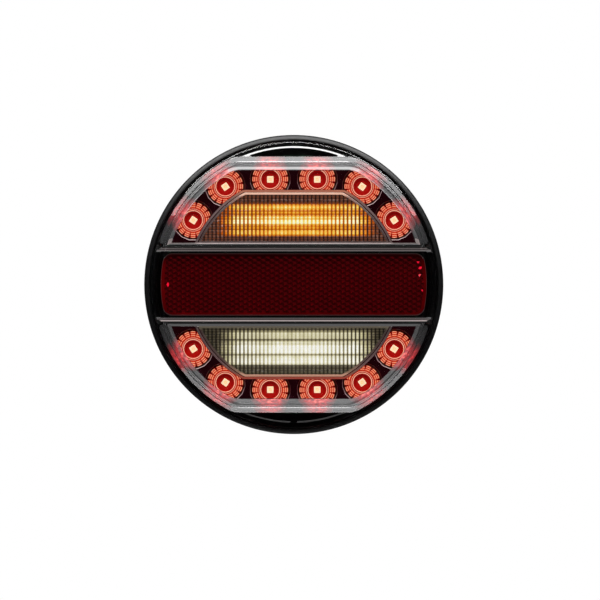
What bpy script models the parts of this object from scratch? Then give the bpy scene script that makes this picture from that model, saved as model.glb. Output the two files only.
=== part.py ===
"""Round LED rear combination lamp for a trailer.

Stop and tail light, direction indicator, reversing lamp and reflex reflector in one sealed housing.

Everything is drawn in the lamp's own axes, which the empty "lamp_axis" turns into the world:
local X runs to the right, local Y runs up, and local Z runs forwards from the mounting face.
"front" in the names below is a distance along local Z. In the world the lamp looks along -Y.
"""

import math

import bmesh
import bpy

MM = 0.001

# Housing
RIM_RADIUS = 70.0 * MM
RIM_INNER_RADIUS = 67.6 * MM
RIM_FRONT = 13.0 * MM
CUP_RADIUS = 67.0 * MM
LEDGE_FRONT = 9.5 * MM
LEDGE_INNER_RADIUS = 64.5 * MM
GROOVE_RADII = (65.0 * MM, 66.8 * MM)
GROOVE_FRONT = 8.4 * MM
PAD_INNER_RADIUS = 62.0 * MM
PAD_OUTER_RADIUS = 66.0 * MM
BACK_RECESS = 1.5 * MM
FLOOR_FRONT = 3.5 * MM
CENTRE_BOSS_RADIUS = 10.0 * MM
STUD_BOSS_RADIUS = 8.0 * MM
RIB_BACK = 0.4 * MM
RIB_WIDTH = 1.6 * MM
RIB_LENGTH = 53.0 * MM
RIB_MIDDLE = 36.0 * MM
STUD_BAR_WIDTH = 7.0 * MM
WALL_HOLE_FRONTS = (-2.0 * MM, 5.0 * MM)

# Outer lens
LENS_RADIUS = 67.2 * MM
FLANGE_BACK = 9.8 * MM
FLANGE_FRONT = 12.0 * MM
LAND_RADIUS = 64.4 * MM
LAND_FRONT = 13.2 * MM
LENS_WALL = 2.0 * MM
LENS_FRONT = 34.0 * MM
CHANNEL_FRONT = 23.0 * MM
CHANNEL_RADIUS = 64.1 * MM
CHANNEL_HALF_HEIGHT = 17.0 * MM
CHANNEL_CORNER = 1.0 * MM
CHANNEL_HOLLOW_HALF_HEIGHT = 17.6 * MM
HOLLOW_BACK = 9.0 * MM
WINDOW_FOOT = (66.3 * MM, 60.1 * MM, 15.3 * MM)
WINDOW_CREST = (63.9 * MM, 57.4 * MM, 17.2 * MM)
WINDOW_CORNER = 8.0 * MM
NOTCH_WIDTH = 3.1 * MM
NOTCH_TOP = 61.8 * MM
NOTCH_FLOOR = 12.2 * MM

# Reflex reflector
REFLECTOR_HALF_HEIGHT = 14.6 * MM
REFLECTOR_RADIUS = 62.0 * MM
REFLECTOR_CORNER = 4.5 * MM
REFLECTOR_FRONTS = (24.4 * MM, 28.5 * MM)
REFLECTOR_CHAMFER = 0.7 * MM
BACKING_FRONTS = (23.3 * MM, 24.1 * MM)

# Bezels, optics and inner lenses, each outline as (arc radius, top, bottom)
BEZEL_OUTLINE = (61.6 * MM, 54.6 * MM, 19.0 * MM)
BEZEL_INSIDE = (60.5 * MM, 53.5 * MM, 19.7 * MM)
BEZEL_FRONTS = (10.5 * MM, 24.6 * MM)
BEZEL_PLATE = (21.5 * MM, 23.0 * MM)
FRAME_OUTLINE = (49.9 * MM, 44.0 * MM, 19.0 * MM)
POCKET_OUTLINE = (49.0 * MM, 43.3 * MM, 15.0 * MM)
APERTURE_OUTLINE = (46.6 * MM, 38.4 * MM, 22.6 * MM)
PILLOW_OUTLINE = (48.6 * MM, 42.9 * MM, 19.4 * MM)
PILLOW_FRONTS = (23.3 * MM, 25.3 * MM)
BEZEL_CORNER = 5.0 * MM
INNER_CORNER = 2.0 * MM
OPTIC_RADII = (3.4 * MM, 8.4 * MM)
OPTIC_FRONTS = (11.9 * MM, 23.9 * MM)
OPTIC_HOLE_RADIUS = 9.5 * MM
OPTIC_SIDES = 16
CAVITY_RADII = (2.2 * MM, 1.5 * MM)
CAVITY_DEPTH = 2.0 * MM
OPTIC_LANE_OUTER = (60.2 * MM, 53.2 * MM, 20.0 * MM)
OPTIC_LANE_INNER = (50.2 * MM, 44.3 * MM, 20.0 * MM)
LIGHT_BOX_OUTLINE = (48.2 * MM, 39.6 * MM, 21.4 * MM)
LIGHT_BOX_FLOOR_OUTLINE = (44.0 * MM, 34.5 * MM, 26.5 * MM)
LIGHT_BOX_FRONTS = (10.6 * MM, 11.8 * MM, 21.2 * MM)

# LEDs: (x, up, turned to face along its radius)
STOP_PLACES = (
    (11.0 * MM, 49.2 * MM, False),
    (32.0 * MM, 45.8 * MM, True),
    (47.0 * MM, 30.1 * MM, True),
)
LED_SIZE = 3.0 * MM
LED_FRONTS = (10.4 * MM, 11.5 * MM)
ROW_PLACES = (-24.0 * MM, -8.0 * MM, 8.0 * MM, 24.0 * MM)
ROW_UP = 30.5 * MM
ROW_HOLE_SIZE = 3.8 * MM

# Circuit board
BOARD_RADIUS = 61.0 * MM
BOARD_FRONTS = (8.6 * MM, 10.2 * MM)
COMPONENT_FRONT = 8.3 * MM
SCREW_PLACES = tuple((side * 50.0 * MM, level * 8.0 * MM) for level in (1, -1) for side in (-1, 1))
SCREW_BOSS_RADIUS = 3.2 * MM
SCREW_HOLE_RADIUS = 1.6 * MM
PILOT_HOLE_FRONTS = (2.4 * MM, 10.0 * MM)
HEADER_SIZE = (14.0 * MM, 7.0 * MM)
HEADER_UP = -24.0 * MM
HEADER_HEIGHT = 4.2 * MM
WIRE_PITCH = 2.5 * MM
WIRE_ENTRY_SIZE = (1.6 * MM, 5.0 * MM)
WIRE_COUNT = 5
CAPACITOR_PLACE = (14.0 * MM, 24.0 * MM)
CHIP_PLACE = (-12.0 * MM, 22.0 * MM)
DIODE_PLACE = (18.0 * MM, -22.0 * MM)

# Studs, nuts and washers: M5, coarse thread
STUD_SPACING = 45.0 * MM
STUD_RADIUS = 2.5 * MM
STUD_END = -20.0 * MM
STUD_HOLE_RADIUS = 2.7 * MM
HEX_ACROSS_FLATS = 8.0 * MM
STUD_HEAD_FRONTS = (3.5 * MM, 7.0 * MM)
STUD_TIP = 0.6 * MM
HEX_POCKET_PLAY = 0.2 * MM
HEX_POCKET_FRONTS = (3.2 * MM, 9.0 * MM)
COLLAR_RADIUS = 7.0 * MM
COLLAR_FRONT = 6.6 * MM
PANEL_GRIP = 3.3 * MM
WASHER_RADII = (2.65 * MM, 5.0 * MM)
WASHER_THICKNESS = 1.0 * MM
WASHER_EDGE = 0.2 * MM
NUT_HEX_HEIGHT = 4.4 * MM
NUT_HEIGHT = 6.0 * MM
NUT_COLLAR_RADII = (3.0 * MM, 3.7 * MM)

# Back wall fittings
GROMMET_UP = -38.0 * MM
GROMMET_BORE_RADIUS = 3.5 * MM
GROMMET_HOLE_RADIUS = 6.0 * MM
VENT_UP = 38.0 * MM
VENT_HOLE_RADIUS = 2.6 * MM

GAP = 0.3 * MM
THROUGH = 2.0 * MM
ROUND_STEPS = 60
ARC_STEPS = 9
CORNER_STEPS = 3

FINISHES = {
    "black plastic": ((0.012, 0.012, 0.013), 0.35, 0.0, 1.0),
    "clear lens": ((0.95, 0.95, 0.95), 0.03, 0.0, 0.25),
    "red reflector": ((0.16, 0.004, 0.008), 0.12, 0.0, 1.0),
    "red optic": ((0.80, 0.03, 0.02), 0.08, 0.0, 0.6),
    "amber lens": ((1.0, 0.55, 0.05), 0.1, 0.0, 0.7),
    "white lens": ((0.95, 0.95, 0.82), 0.1, 0.0, 0.7),
    "white reflector": ((0.85, 0.85, 0.83), 0.25, 0.0, 1.0),
    "circuit board": ((0.02, 0.10, 0.05), 0.45, 0.0, 1.0),
    "electronics": ((0.03, 0.03, 0.03), 0.5, 0.0, 1.0),
    "led": ((0.95, 0.85, 0.55), 0.4, 0.0, 1.0),
    "rubber": ((0.02, 0.02, 0.02), 0.8, 0.0, 1.0),
    "zinc": ((0.62, 0.62, 0.60), 0.32, 1.0, 1.0),
}


# Scene

def clear_scene():
    for obj in list(bpy.data.objects):
        bpy.data.objects.remove(obj, do_unlink=True)


def new_collection(name):
    collection = bpy.data.collections.new(name)
    bpy.context.scene.collection.children.link(collection)
    return collection


def new_lamp_axis():
    """The empty that turns the lamp's own axes into the world's."""
    empty = bpy.data.objects.new("lamp_axis", None)
    parts.objects.link(empty)
    empty.rotation_euler.x = math.pi / 2
    bpy.context.view_layer.update()
    return empty


def add_object(name, data):
    obj = bpy.data.objects.new(name, data)
    parts.objects.link(obj)
    obj.parent = lamp_axis
    return obj


def make_cutter(obj):
    """Moves an object out of the model and in with the cutters."""
    if obj.name in parts.objects:
        parts.objects.unlink(obj)
        cutters.objects.link(obj)
    obj.hide_render = True
    obj.display_type = "WIRE"


def finish(obj, finish_name, smooth_angle=30.0):
    """Gives an object its own material and smooth shading with sharp edges."""
    colour, roughness, metallic, alpha = FINISHES[finish_name]
    material = bpy.data.materials.new(obj.name)
    material.use_nodes = True
    shader = material.node_tree.nodes["Principled BSDF"]
    shader.inputs["Base Color"].default_value = (*colour, 1.0)
    shader.inputs["Roughness"].default_value = roughness
    shader.inputs["Metallic"].default_value = metallic
    shader.inputs["Alpha"].default_value = alpha
    obj.data.materials.append(material)
    obj.data.shade_smooth()
    obj.data.set_sharp_from_angle(angle=math.radians(smooth_angle))
    return obj


# Outlines, as lists of (x, up)

def arc(centre, radius, start, end, steps):
    angles = [start + (end - start) * i / steps for i in range(steps + 1)]
    return [(centre[0] + radius * math.cos(a), centre[1] + radius * math.sin(a)) for a in angles]


def half_moon(radius, top, bottom, corner, side=1):
    """Round on both sides, flat at top and bottom. Side -1 is the lower half's copy."""
    reach = radius - corner
    centre = (math.sqrt(reach**2 - (top - corner) ** 2), top - corner)
    turn = math.atan2(centre[1], centre[0])
    right = arc((0.0, 0.0), radius, math.asin(bottom / radius), turn, ARC_STEPS)
    right += arc(centre, corner, turn, math.pi / 2, CORNER_STEPS)[1:]
    points = right + [(-x, up) for x, up in reversed(right)]
    return [(x, side * up) for x, up in points]


def lane(outer, inner, side):
    """The band between two half-moons, open across the bottom of the inner one."""
    path = half_moon(*outer, BEZEL_CORNER, side)
    return path + list(reversed(half_moon(*inner, INNER_CORNER, side)))


def strip_outline(radius, half_height, corner):
    """A level strip with round ends that follow a circle, and rounded corners."""
    reach = radius - corner
    centre = (math.sqrt(reach**2 - (half_height - corner) ** 2), half_height - corner)
    turn = math.atan2(centre[1], centre[0])
    upper = arc((0.0, 0.0), radius, 0.0, turn, CORNER_STEPS)
    upper += arc(centre, corner, turn, math.pi / 2, CORNER_STEPS)[1:]
    right = [(x, -up) for x, up in reversed(upper[1:])] + upper
    return right + [(-x, -up) for x, up in right]


# Solids

def mesh_from_curve(curve_object):
    """Turns a curve object into a closed mesh object of the same name and place."""
    bpy.context.view_layer.update()
    evaluated = curve_object.evaluated_get(bpy.context.evaluated_depsgraph_get())
    mesh = bpy.data.meshes.new_from_object(evaluated)
    name = curve_object.name
    world = curve_object.matrix_world.copy()
    bpy.data.objects.remove(curve_object, do_unlink=True)
    bm = bmesh.new()
    bm.from_mesh(mesh)
    bmesh.ops.remove_doubles(bm, verts=bm.verts, dist=0.001 * MM)
    bmesh.ops.recalc_face_normals(bm, faces=bm.faces)
    bm.to_mesh(mesh)
    bm.free()
    solid = add_object(name, mesh)
    solid.matrix_world = world
    return solid


def plate(name, outline, back, front):
    """A flat outline made solid from back to front."""
    curve = bpy.data.curves.new(name, "CURVE")
    curve.dimensions = "2D"
    curve.fill_mode = "BOTH"
    curve.extrude = (front - back) / 2
    spline = curve.splines.new("POLY")
    spline.points.add(len(outline) - 1)
    for point, (x, up) in zip(spline.points, outline):
        point.co = (x, up, 0.0, 1.0)
    spline.use_cyclic_u = True
    obj = add_object(name, curve)
    obj.location.z = (back + front) / 2
    return mesh_from_curve(obj)


def loft(name, rings):
    """A closed solid through outlines of one point count, given as (outline, front)."""
    bm = bmesh.new()
    loops = [[bm.verts.new((x, up, front)) for x, up in outline] for outline, front in rings]
    for lower, upper in zip(loops, loops[1:]):
        for i, vert in enumerate(lower):
            j = (i + 1) % len(lower)
            bm.faces.new((vert, lower[j], upper[j], upper[i]))
    bm.faces.new(reversed(loops[0]))
    bm.faces.new(loops[-1])
    bmesh.ops.recalc_face_normals(bm, faces=bm.faces)
    mesh = bpy.data.meshes.new(name)
    bm.to_mesh(mesh)
    bm.free()
    return add_object(name, mesh)


def turned(name, profile, steps=ROUND_STEPS, closed=False):
    """A profile of (radius, front) points spun round local Z, listed down its outer side."""
    mesh = bpy.data.meshes.new(name)
    edges = [(i, i + 1) for i in range(len(profile) - 1)]
    if closed:
        edges.append((len(profile) - 1, 0))
    mesh.from_pydata([(radius, 0.0, front) for radius, front in profile], edges, [])
    obj = add_object(name, mesh)
    screw = obj.modifiers.new("spin", "SCREW")
    screw.steps = steps
    screw.render_steps = steps
    screw.use_merge_vertices = True
    screw.merge_threshold = 0.01 * MM
    return obj


def cone(name, radii, fronts, sides=24, x=0.0, up=0.0, turn=0.0):
    bm = bmesh.new()
    bmesh.ops.create_cone(
        bm, cap_ends=True, segments=sides, radius1=radii[0], radius2=radii[1], depth=fronts[1] - fronts[0]
    )
    mesh = bpy.data.meshes.new(name)
    bm.to_mesh(mesh)
    bm.free()
    obj = add_object(name, mesh)
    obj.location = (x, up, (fronts[0] + fronts[1]) / 2)
    obj.rotation_euler.z = turn
    return obj


def cylinder(name, radius, fronts, sides=24, x=0.0, up=0.0):
    return cone(name, (radius, radius), fronts, sides, x, up)


def hexagon(name, across_flats, fronts, x=0.0, up=0.0):
    radius = across_flats / 2 / math.cos(math.pi / 6)
    return cone(name, (radius, radius), fronts, 6, x, up)


def box(name, size, fronts, x=0.0, up=0.0, turn=0.0):
    bm = bmesh.new()
    bmesh.ops.create_cube(bm, size=1.0)
    bmesh.ops.scale(bm, verts=bm.verts, vec=(size[0], size[1], fronts[1] - fronts[0]))
    mesh = bpy.data.meshes.new(name)
    bm.to_mesh(mesh)
    bm.free()
    obj = add_object(name, mesh)
    obj.location = (x, up, (fronts[0] + fronts[1]) / 2)
    obj.rotation_euler.z = turn
    return obj


def bevel(obj, width, angle=50.0):
    modifier = obj.modifiers.new("edge", "BEVEL")
    modifier.width = width
    modifier.segments = 1
    modifier.limit_method = "ANGLE"
    modifier.angle_limit = math.radians(angle)
    return obj


def combine(target, others, operation):
    for other in others:
        modifier = target.modifiers.new(f"{operation.lower()} {other.name}", "BOOLEAN")
        modifier.operation = operation
        modifier.object = other
        make_cutter(other)
    return target


def add(target, *others):
    return combine(target, others, "UNION")


def cut(target, *others):
    return combine(target, others, "DIFFERENCE")


def keep_inside(target, other):
    return combine(target, [other], "INTERSECT")


# Housing and what closes it

def stud_sides():
    return (("left", -STUD_SPACING / 2), ("right", STUD_SPACING / 2))


def make_housing():
    cup = [
        (0.0, FLOOR_FRONT),
        (64.1 * MM, FLOOR_FRONT),
        (LEDGE_INNER_RADIUS, LEDGE_FRONT),
        (GROOVE_RADII[0], LEDGE_FRONT),
        (GROOVE_RADII[0], GROOVE_FRONT),
        (GROOVE_RADII[1], GROOVE_FRONT),
        (GROOVE_RADII[1], LEDGE_FRONT),
        (RIM_INNER_RADIUS, LEDGE_FRONT),
        (RIM_INNER_RADIUS, RIM_FRONT - 0.7 * MM),
        (RIM_INNER_RADIUS + 0.6 * MM, RIM_FRONT),
        (RIM_RADIUS - 0.8 * MM, RIM_FRONT),
        (RIM_RADIUS, RIM_FRONT - 1.1 * MM),
        (RIM_RADIUS, 8.2 * MM),
        (RIM_RADIUS - 0.8 * MM, 7.2 * MM),
        (CUP_RADIUS, 6.4 * MM),
        (CUP_RADIUS - 0.4 * MM, 0.6 * MM),
        (PAD_OUTER_RADIUS, 0.0),
        (PAD_INNER_RADIUS, 0.0),
        (PAD_INNER_RADIUS, BACK_RECESS),
        (0.0, BACK_RECESS),
    ]
    housing = turned("rear_housing", cup)
    sunk = FLOOR_FRONT - 0.5 * MM
    add(housing, cylinder("centre_boss", CENTRE_BOSS_RADIUS, (0.0, sunk), 32))
    add(housing, box("stud_bar", (STUD_SPACING, STUD_BAR_WIDTH), (RIB_BACK, sunk)))
    for i in range(4):
        angle = math.radians(45 + 90 * i)
        place = (RIB_MIDDLE * math.cos(angle), RIB_MIDDLE * math.sin(angle))
        add(housing, box(f"back_rib_{i + 1}", (RIB_LENGTH, RIB_WIDTH), (RIB_BACK, sunk), *place, angle))
    for side, x in stud_sides():
        add(housing, cylinder(f"stud_boss_{side}", STUD_BOSS_RADIUS, (0.0, sunk), 32, x))
        add(housing, cylinder(f"stud_collar_{side}", COLLAR_RADIUS, (sunk, COLLAR_FRONT), 24, x))
    for i, (x, up) in enumerate(SCREW_PLACES):
        add(housing, cylinder(f"screw_boss_{i + 1}", SCREW_BOSS_RADIUS, (sunk, COMPONENT_FRONT), 16, x, up))
    cut_housing_holes(housing)
    return finish(housing, "black plastic")


def cut_housing_holes(housing):
    pocket_size = HEX_ACROSS_FLATS + 2 * HEX_POCKET_PLAY
    for side, x in stud_sides():
        cut(
            housing,
            cylinder(f"stud_hole_{side}", STUD_HOLE_RADIUS, WALL_HOLE_FRONTS, 16, x),
            hexagon(f"hex_pocket_{side}", pocket_size, HEX_POCKET_FRONTS, x),
        )
    for i, (x, up) in enumerate(SCREW_PLACES):
        cut(housing, cylinder(f"pilot_hole_{i + 1}", SCREW_HOLE_RADIUS, PILOT_HOLE_FRONTS, 12, x, up))
    cut(
        housing,
        cylinder("grommet_hole", GROMMET_HOLE_RADIUS, WALL_HOLE_FRONTS, 24, 0.0, GROMMET_UP),
        cylinder("vent_hole", VENT_HOLE_RADIUS, WALL_HOLE_FRONTS, 16, 0.0, VENT_UP),
    )


def make_seal():
    inner = GROOVE_RADII[0] + GAP
    outer = GROOVE_RADII[1] - GAP
    back = GROOVE_FRONT + GAP
    front = FLANGE_BACK - GAP
    profile = [(inner, front), (outer, front), (outer, back), (inner, back)]
    return finish(turned("lens_seal", profile, closed=True), "rubber")


def make_grommet():
    neck = GROMMET_HOLE_RADIUS - GAP
    flange_front = BACK_RECESS - GAP
    inside = FLOOR_FRONT + GAP
    profile = [
        (GROMMET_BORE_RADIUS, 5.4 * MM),
        (6.4 * MM, 5.4 * MM),
        (7.4 * MM, inside),
        (neck, inside),
        (neck, flange_front),
        (8.8 * MM, flange_front),
        (9.2 * MM, 0.7 * MM),
        (8.8 * MM, 0.2 * MM),
        (GROMMET_BORE_RADIUS, 0.2 * MM),
    ]
    grommet = turned("cable_grommet", profile, 24, closed=True)
    grommet.location.y = GROMMET_UP
    return finish(grommet, "rubber")


def make_vent():
    peg = VENT_HOLE_RADIUS - GAP
    cap_front = BACK_RECESS - GAP
    profile = [(0.0, 4.6 * MM), (1.7 * MM, 4.6 * MM), (peg, 3.9 * MM), (peg, cap_front)]
    profile += [(4.4 * MM, cap_front), (4.4 * MM, 0.5 * MM), (3.6 * MM, 0.2 * MM), (0.0, 0.2 * MM)]
    vent = turned("vent_plug", profile, 20)
    vent.location.y = VENT_UP
    return finish(vent, "rubber")


# Outer lens and reflector

def shrink(outline, wall):
    """A half-moon's (radius, top, bottom) moved in by a wall."""
    radius, top, bottom = outline
    return (radius - wall, top - wall, bottom + wall)


def window_block(name, side, rings):
    """A raised window, as a loft through (outline, corner, front)."""
    return loft(name, [(half_moon(*outline, corner, side), front) for outline, corner, front in rings])


def make_outer_lens():
    under = LAND_FRONT - LENS_WALL
    inside_radius = LAND_RADIUS - LENS_WALL
    dish = [
        (0.0, LAND_FRONT),
        (LAND_RADIUS - GAP, LAND_FRONT),
        (LAND_RADIUS, LAND_FRONT - GAP),
        (LAND_RADIUS, FLANGE_FRONT),
        (LENS_RADIUS - GAP, FLANGE_FRONT),
        (LENS_RADIUS, FLANGE_FRONT - GAP),
        (LENS_RADIUS, FLANGE_BACK),
        (inside_radius, FLANGE_BACK),
        (inside_radius, under),
        (0.0, under),
    ]
    lens = turned("outer_lens", dish)
    buried = FLANGE_FRONT - 0.5 * MM
    channel = strip_outline(CHANNEL_RADIUS, CHANNEL_HALF_HEIGHT, CHANNEL_CORNER)
    add(lens, plate("channel_block", channel, buried, CHANNEL_FRONT))
    for half, side in (("upper", 1), ("lower", -1)):
        rings = [(WINDOW_FOOT, WINDOW_CORNER, buried), (WINDOW_CREST, WINDOW_CORNER, LENS_FRONT)]
        add(lens, window_block(f"{half}_window_block", side, rings))
    for half, side in (("upper", 1), ("lower", -1)):
        foot = shrink(WINDOW_FOOT, LENS_WALL)
        crest = shrink(WINDOW_CREST, LENS_WALL)
        corner = WINDOW_CORNER - LENS_WALL
        rings = [(foot, corner, HOLLOW_BACK), (foot, corner, FLANGE_FRONT)]
        rings += [(crest, corner, LENS_FRONT - LENS_WALL)]
        cut(lens, window_block(f"{half}_window_hollow", side, rings))
    hollow = strip_outline(CHANNEL_RADIUS - LENS_WALL, CHANNEL_HOLLOW_HALF_HEIGHT, CHANNEL_CORNER)
    cut(lens, plate("channel_hollow", hollow, HOLLOW_BACK, CHANNEL_FRONT - LENS_WALL))
    cut(lens, make_notch())
    return finish(lens, "clear lens")


def make_notch():
    """The locating notch at the bottom of the land: round at its inner end, open at the outer."""
    radius = NOTCH_WIDTH / 2
    inner_end = arc((0.0, -NOTCH_TOP - radius), radius, 0.0, math.pi, 6)
    outline = inner_end + [(-radius, -LENS_RADIUS), (radius, -LENS_RADIUS)]
    return plate("lens_notch", outline, NOTCH_FLOOR, LAND_FRONT + THROUGH)


def make_reflector():
    outline = strip_outline(REFLECTOR_RADIUS, REFLECTOR_HALF_HEIGHT, REFLECTOR_CORNER)
    tile = bevel(plate("reflector_tile", outline, *REFLECTOR_FRONTS), REFLECTOR_CHAMFER)
    finish(tile, "red reflector")
    edge = 0.4 * MM
    smaller = strip_outline(REFLECTOR_RADIUS - edge, REFLECTOR_HALF_HEIGHT - edge, REFLECTOR_CORNER)
    finish(plate("reflector_backing", smaller, *BACKING_FRONTS), "black plastic")


# Bezels, optics and light boxes

def optic_places(side):
    """(x, up, turn) of one half's six optics, from left to right."""
    right = []
    for x, up, turned_out in STOP_PLACES:
        turn = math.atan2(x, up) if turned_out else 0.0
        right.append((x, side * up, -side * turn))
    left = [(-x, up, -turn) for x, up, turn in reversed(right)]
    return left + right


def make_bezel(half, side):
    plate_back, plate_front = BEZEL_PLATE
    above = BEZEL_FRONTS[1] + THROUGH
    bezel = plate(f"{half}_bezel", half_moon(*BEZEL_OUTLINE, BEZEL_CORNER, side), *BEZEL_FRONTS)
    inside = half_moon(*BEZEL_INSIDE, BEZEL_CORNER, side)
    pocket = half_moon(*POCKET_OUTLINE, INNER_CORNER, side)
    aperture = half_moon(*APERTURE_OUTLINE, INNER_CORNER, side)
    cut(
        bezel,
        plate(f"{half}_bezel_hollow", inside, BEZEL_FRONTS[0] - THROUGH, plate_back),
        plate(f"{half}_bezel_lane", lane(BEZEL_INSIDE, FRAME_OUTLINE, side), plate_front, above),
        plate(f"{half}_bezel_pocket", pocket, plate_front, above),
        plate(f"{half}_bezel_aperture", aperture, plate_back - THROUGH, above),
    )
    limits = (plate_back - THROUGH, plate_front + THROUGH)
    lane_block = plate(f"{half}_hole_lane", lane(OPTIC_LANE_OUTER, OPTIC_LANE_INNER, side), *limits)
    for i, (x, up, _) in enumerate(optic_places(side)):
        reach = (limits[0] - THROUGH, limits[1] + THROUGH)
        hole = cylinder(f"{half}_optic_hole_{i + 1}", OPTIC_HOLE_RADIUS, reach, OPTIC_SIDES, x, up)
        cut(bezel, keep_inside(hole, lane_block))
    return finish(bezel, "black plastic")


def make_optics(half, side, first):
    back, front = OPTIC_FRONTS
    outline = lane(OPTIC_LANE_OUTER, OPTIC_LANE_INNER, side)
    lane_block = plate(f"{half}_optic_lane", outline, back - THROUGH, front + THROUGH)
    for i, (x, up, turn) in enumerate(optic_places(side)):
        number = f"{first + i:02d}"
        optic = cone(f"stop_optic_{number}", OPTIC_RADII, OPTIC_FRONTS, OPTIC_SIDES, x, up)
        keep_inside(optic, lane_block)
        cavity_fronts = (back - THROUGH / 2, back + CAVITY_DEPTH)
        cut(optic, cone(f"optic_cavity_{number}", CAVITY_RADII, cavity_fronts, 8, x, up))
        finish(optic, "red optic")
        led = box(f"stop_led_{number}", (LED_SIZE, LED_SIZE), LED_FRONTS, x, up, turn)
        finish(led, "led")


def make_signal_lamp(name, side, lens_finish):
    """Pillow lens, light box and LED row of the indicator or the reversing lamp."""
    floor_back, floor_front, mouth_front = LIGHT_BOX_FRONTS
    outline = half_moon(*LIGHT_BOX_OUTLINE, INNER_CORNER, side)
    light_box = plate(f"{name}_light_box", outline, floor_back, mouth_front)
    floor_outline = half_moon(*LIGHT_BOX_FLOOR_OUTLINE, INNER_CORNER, side)
    mouth_outline = half_moon(*APERTURE_OUTLINE, INNER_CORNER, side)
    rings = [(floor_outline, floor_front), (mouth_outline, mouth_front + GAP)]
    cut(light_box, loft(f"{name}_trough", rings))
    for i, x in enumerate(ROW_PLACES):
        hole = (ROW_HOLE_SIZE, ROW_HOLE_SIZE)
        hole_fronts = (floor_back - THROUGH, floor_front + THROUGH)
        cut(light_box, box(f"{name}_led_hole_{i + 1}", hole, hole_fronts, x, side * ROW_UP))
        led = box(f"{name}_led_{i + 1}", (LED_SIZE, LED_SIZE), LED_FRONTS, x, side * ROW_UP)
        finish(led, "led")
    finish(light_box, "white reflector")
    pillow = plate(f"{name}_pillow_lens", half_moon(*PILLOW_OUTLINE, INNER_CORNER, side), *PILLOW_FRONTS)
    finish(pillow, lens_finish)


# Circuit board

def make_board():
    board = cylinder("circuit_board", BOARD_RADIUS, BOARD_FRONTS, ROUND_STEPS)
    for i, (x, up) in enumerate(SCREW_PLACES):
        through = (BOARD_FRONTS[0] - THROUGH, BOARD_FRONTS[1] + THROUGH)
        cut(board, cylinder(f"board_hole_{i + 1}", SCREW_HOLE_RADIUS, through, 12, x, up))
        make_board_screw(f"board_screw_{i + 1}", x, up)
    finish(board, "circuit board")


def make_board_screw(name, x, up):
    """Pan head over the board, and a shank down into its boss."""
    under_head = BOARD_FRONTS[1] + GAP
    profile = [
        (0.0, under_head + 1.5 * MM),
        (1.6 * MM, under_head + 1.4 * MM),
        (2.6 * MM, under_head + 0.7 * MM),
        (2.6 * MM, under_head),
        (1.25 * MM, under_head),
        (1.25 * MM, 3.4 * MM),
        (0.0, 2.8 * MM),
    ]
    screw = turned(name, profile, 12)
    screw.location = (x, up, 0.0)
    finish(screw, "zinc")


def make_wire_header():
    back = COMPONENT_FRONT - HEADER_HEIGHT
    header = box("wire_header", HEADER_SIZE, (back, COMPONENT_FRONT), 0.0, HEADER_UP)
    entry_fronts = (back + 1.0 * MM, back + 2.8 * MM)
    for i in range(WIRE_COUNT):
        x = (i - (WIRE_COUNT - 1) / 2) * WIRE_PITCH
        entry_up = HEADER_UP - 3.0 * MM
        cut(header, box(f"wire_entry_{i + 1}", WIRE_ENTRY_SIZE, entry_fronts, x, entry_up))
    finish(header, "white reflector")


def surface_mount(name, body_size, body_height, leads_size, place):
    """A component body with a thin plate of leads against the back of the board."""
    front = COMPONENT_FRONT
    body = box(name, body_size, (front - body_height, front - 0.1 * MM), *place)
    leads = box(f"{name}_leads", leads_size, (front - 0.3 * MM, front), *place)
    finish(add(body, leads), "electronics")


def make_components():
    make_wire_header()
    front = COMPONENT_FRONT
    can_fronts = (front - 4.3 * MM, front - 0.5 * MM)
    can = cylinder("filter_capacitor", 4.0 * MM, can_fronts, 20, *CAPACITOR_PLACE)
    base = box("capacitor_base", (8.3 * MM, 8.3 * MM), (front - 0.9 * MM, front), *CAPACITOR_PLACE)
    finish(add(can, base), "zinc")
    surface_mount("driver_chip", (5.0 * MM, 4.0 * MM), 1.6 * MM, (4.4 * MM, 6.2 * MM), CHIP_PLACE)
    surface_mount("input_diode", (4.3 * MM, 3.6 * MM), 2.3 * MM, (5.6 * MM, 1.5 * MM), DIODE_PLACE)


# Studs, washers and nuts

def make_stud(side, x):
    stud = hexagon(f"mounting_stud_{side}", HEX_ACROSS_FLATS, STUD_HEAD_FRONTS, x)
    tip_front = STUD_END + STUD_TIP
    inside_head = STUD_HEAD_FRONTS[0] + 1.0 * MM
    add(
        stud,
        cylinder(f"stud_shank_{side}", STUD_RADIUS, (tip_front, inside_head), 16, x),
        cone(f"stud_tip_{side}", (STUD_RADIUS - STUD_TIP, STUD_RADIUS), (STUD_END, tip_front), 16, x),
    )
    finish(stud, "zinc")


def make_washer_and_nut(side, x):
    """The washer and nut, with their origins on the stud's axis where they clamp a panel."""
    inner, outer = WASHER_RADII
    edge = outer - WASHER_EDGE
    back = -WASHER_THICKNESS
    profile = [(inner, 0.0), (edge, 0.0), (outer, -WASHER_EDGE), (outer, back + WASHER_EDGE)]
    profile += [(edge, back), (inner, back)]
    washer = turned(f"stud_washer_{side}", profile, 24, closed=True)
    washer.location = (x, 0.0, -PANEL_GRIP)
    finish(washer, "zinc")
    nut_front = -PANEL_GRIP - WASHER_THICKNESS - GAP
    nut = hexagon(f"stud_nut_{side}", HEX_ACROSS_FLATS, (nut_front - NUT_HEX_HEIGHT, nut_front), x)
    collar_fronts = (nut_front - NUT_HEIGHT, nut_front - NUT_HEX_HEIGHT + 1.0 * MM)
    add(nut, cone(f"nut_collar_{side}", NUT_COLLAR_RADII, collar_fronts, 16, x))
    bore = (nut_front - NUT_HEIGHT - THROUGH, nut_front + THROUGH)
    cut(nut, cylinder(f"nut_bore_{side}", inner, bore, 16, x))
    finish(nut, "zinc")


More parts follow.
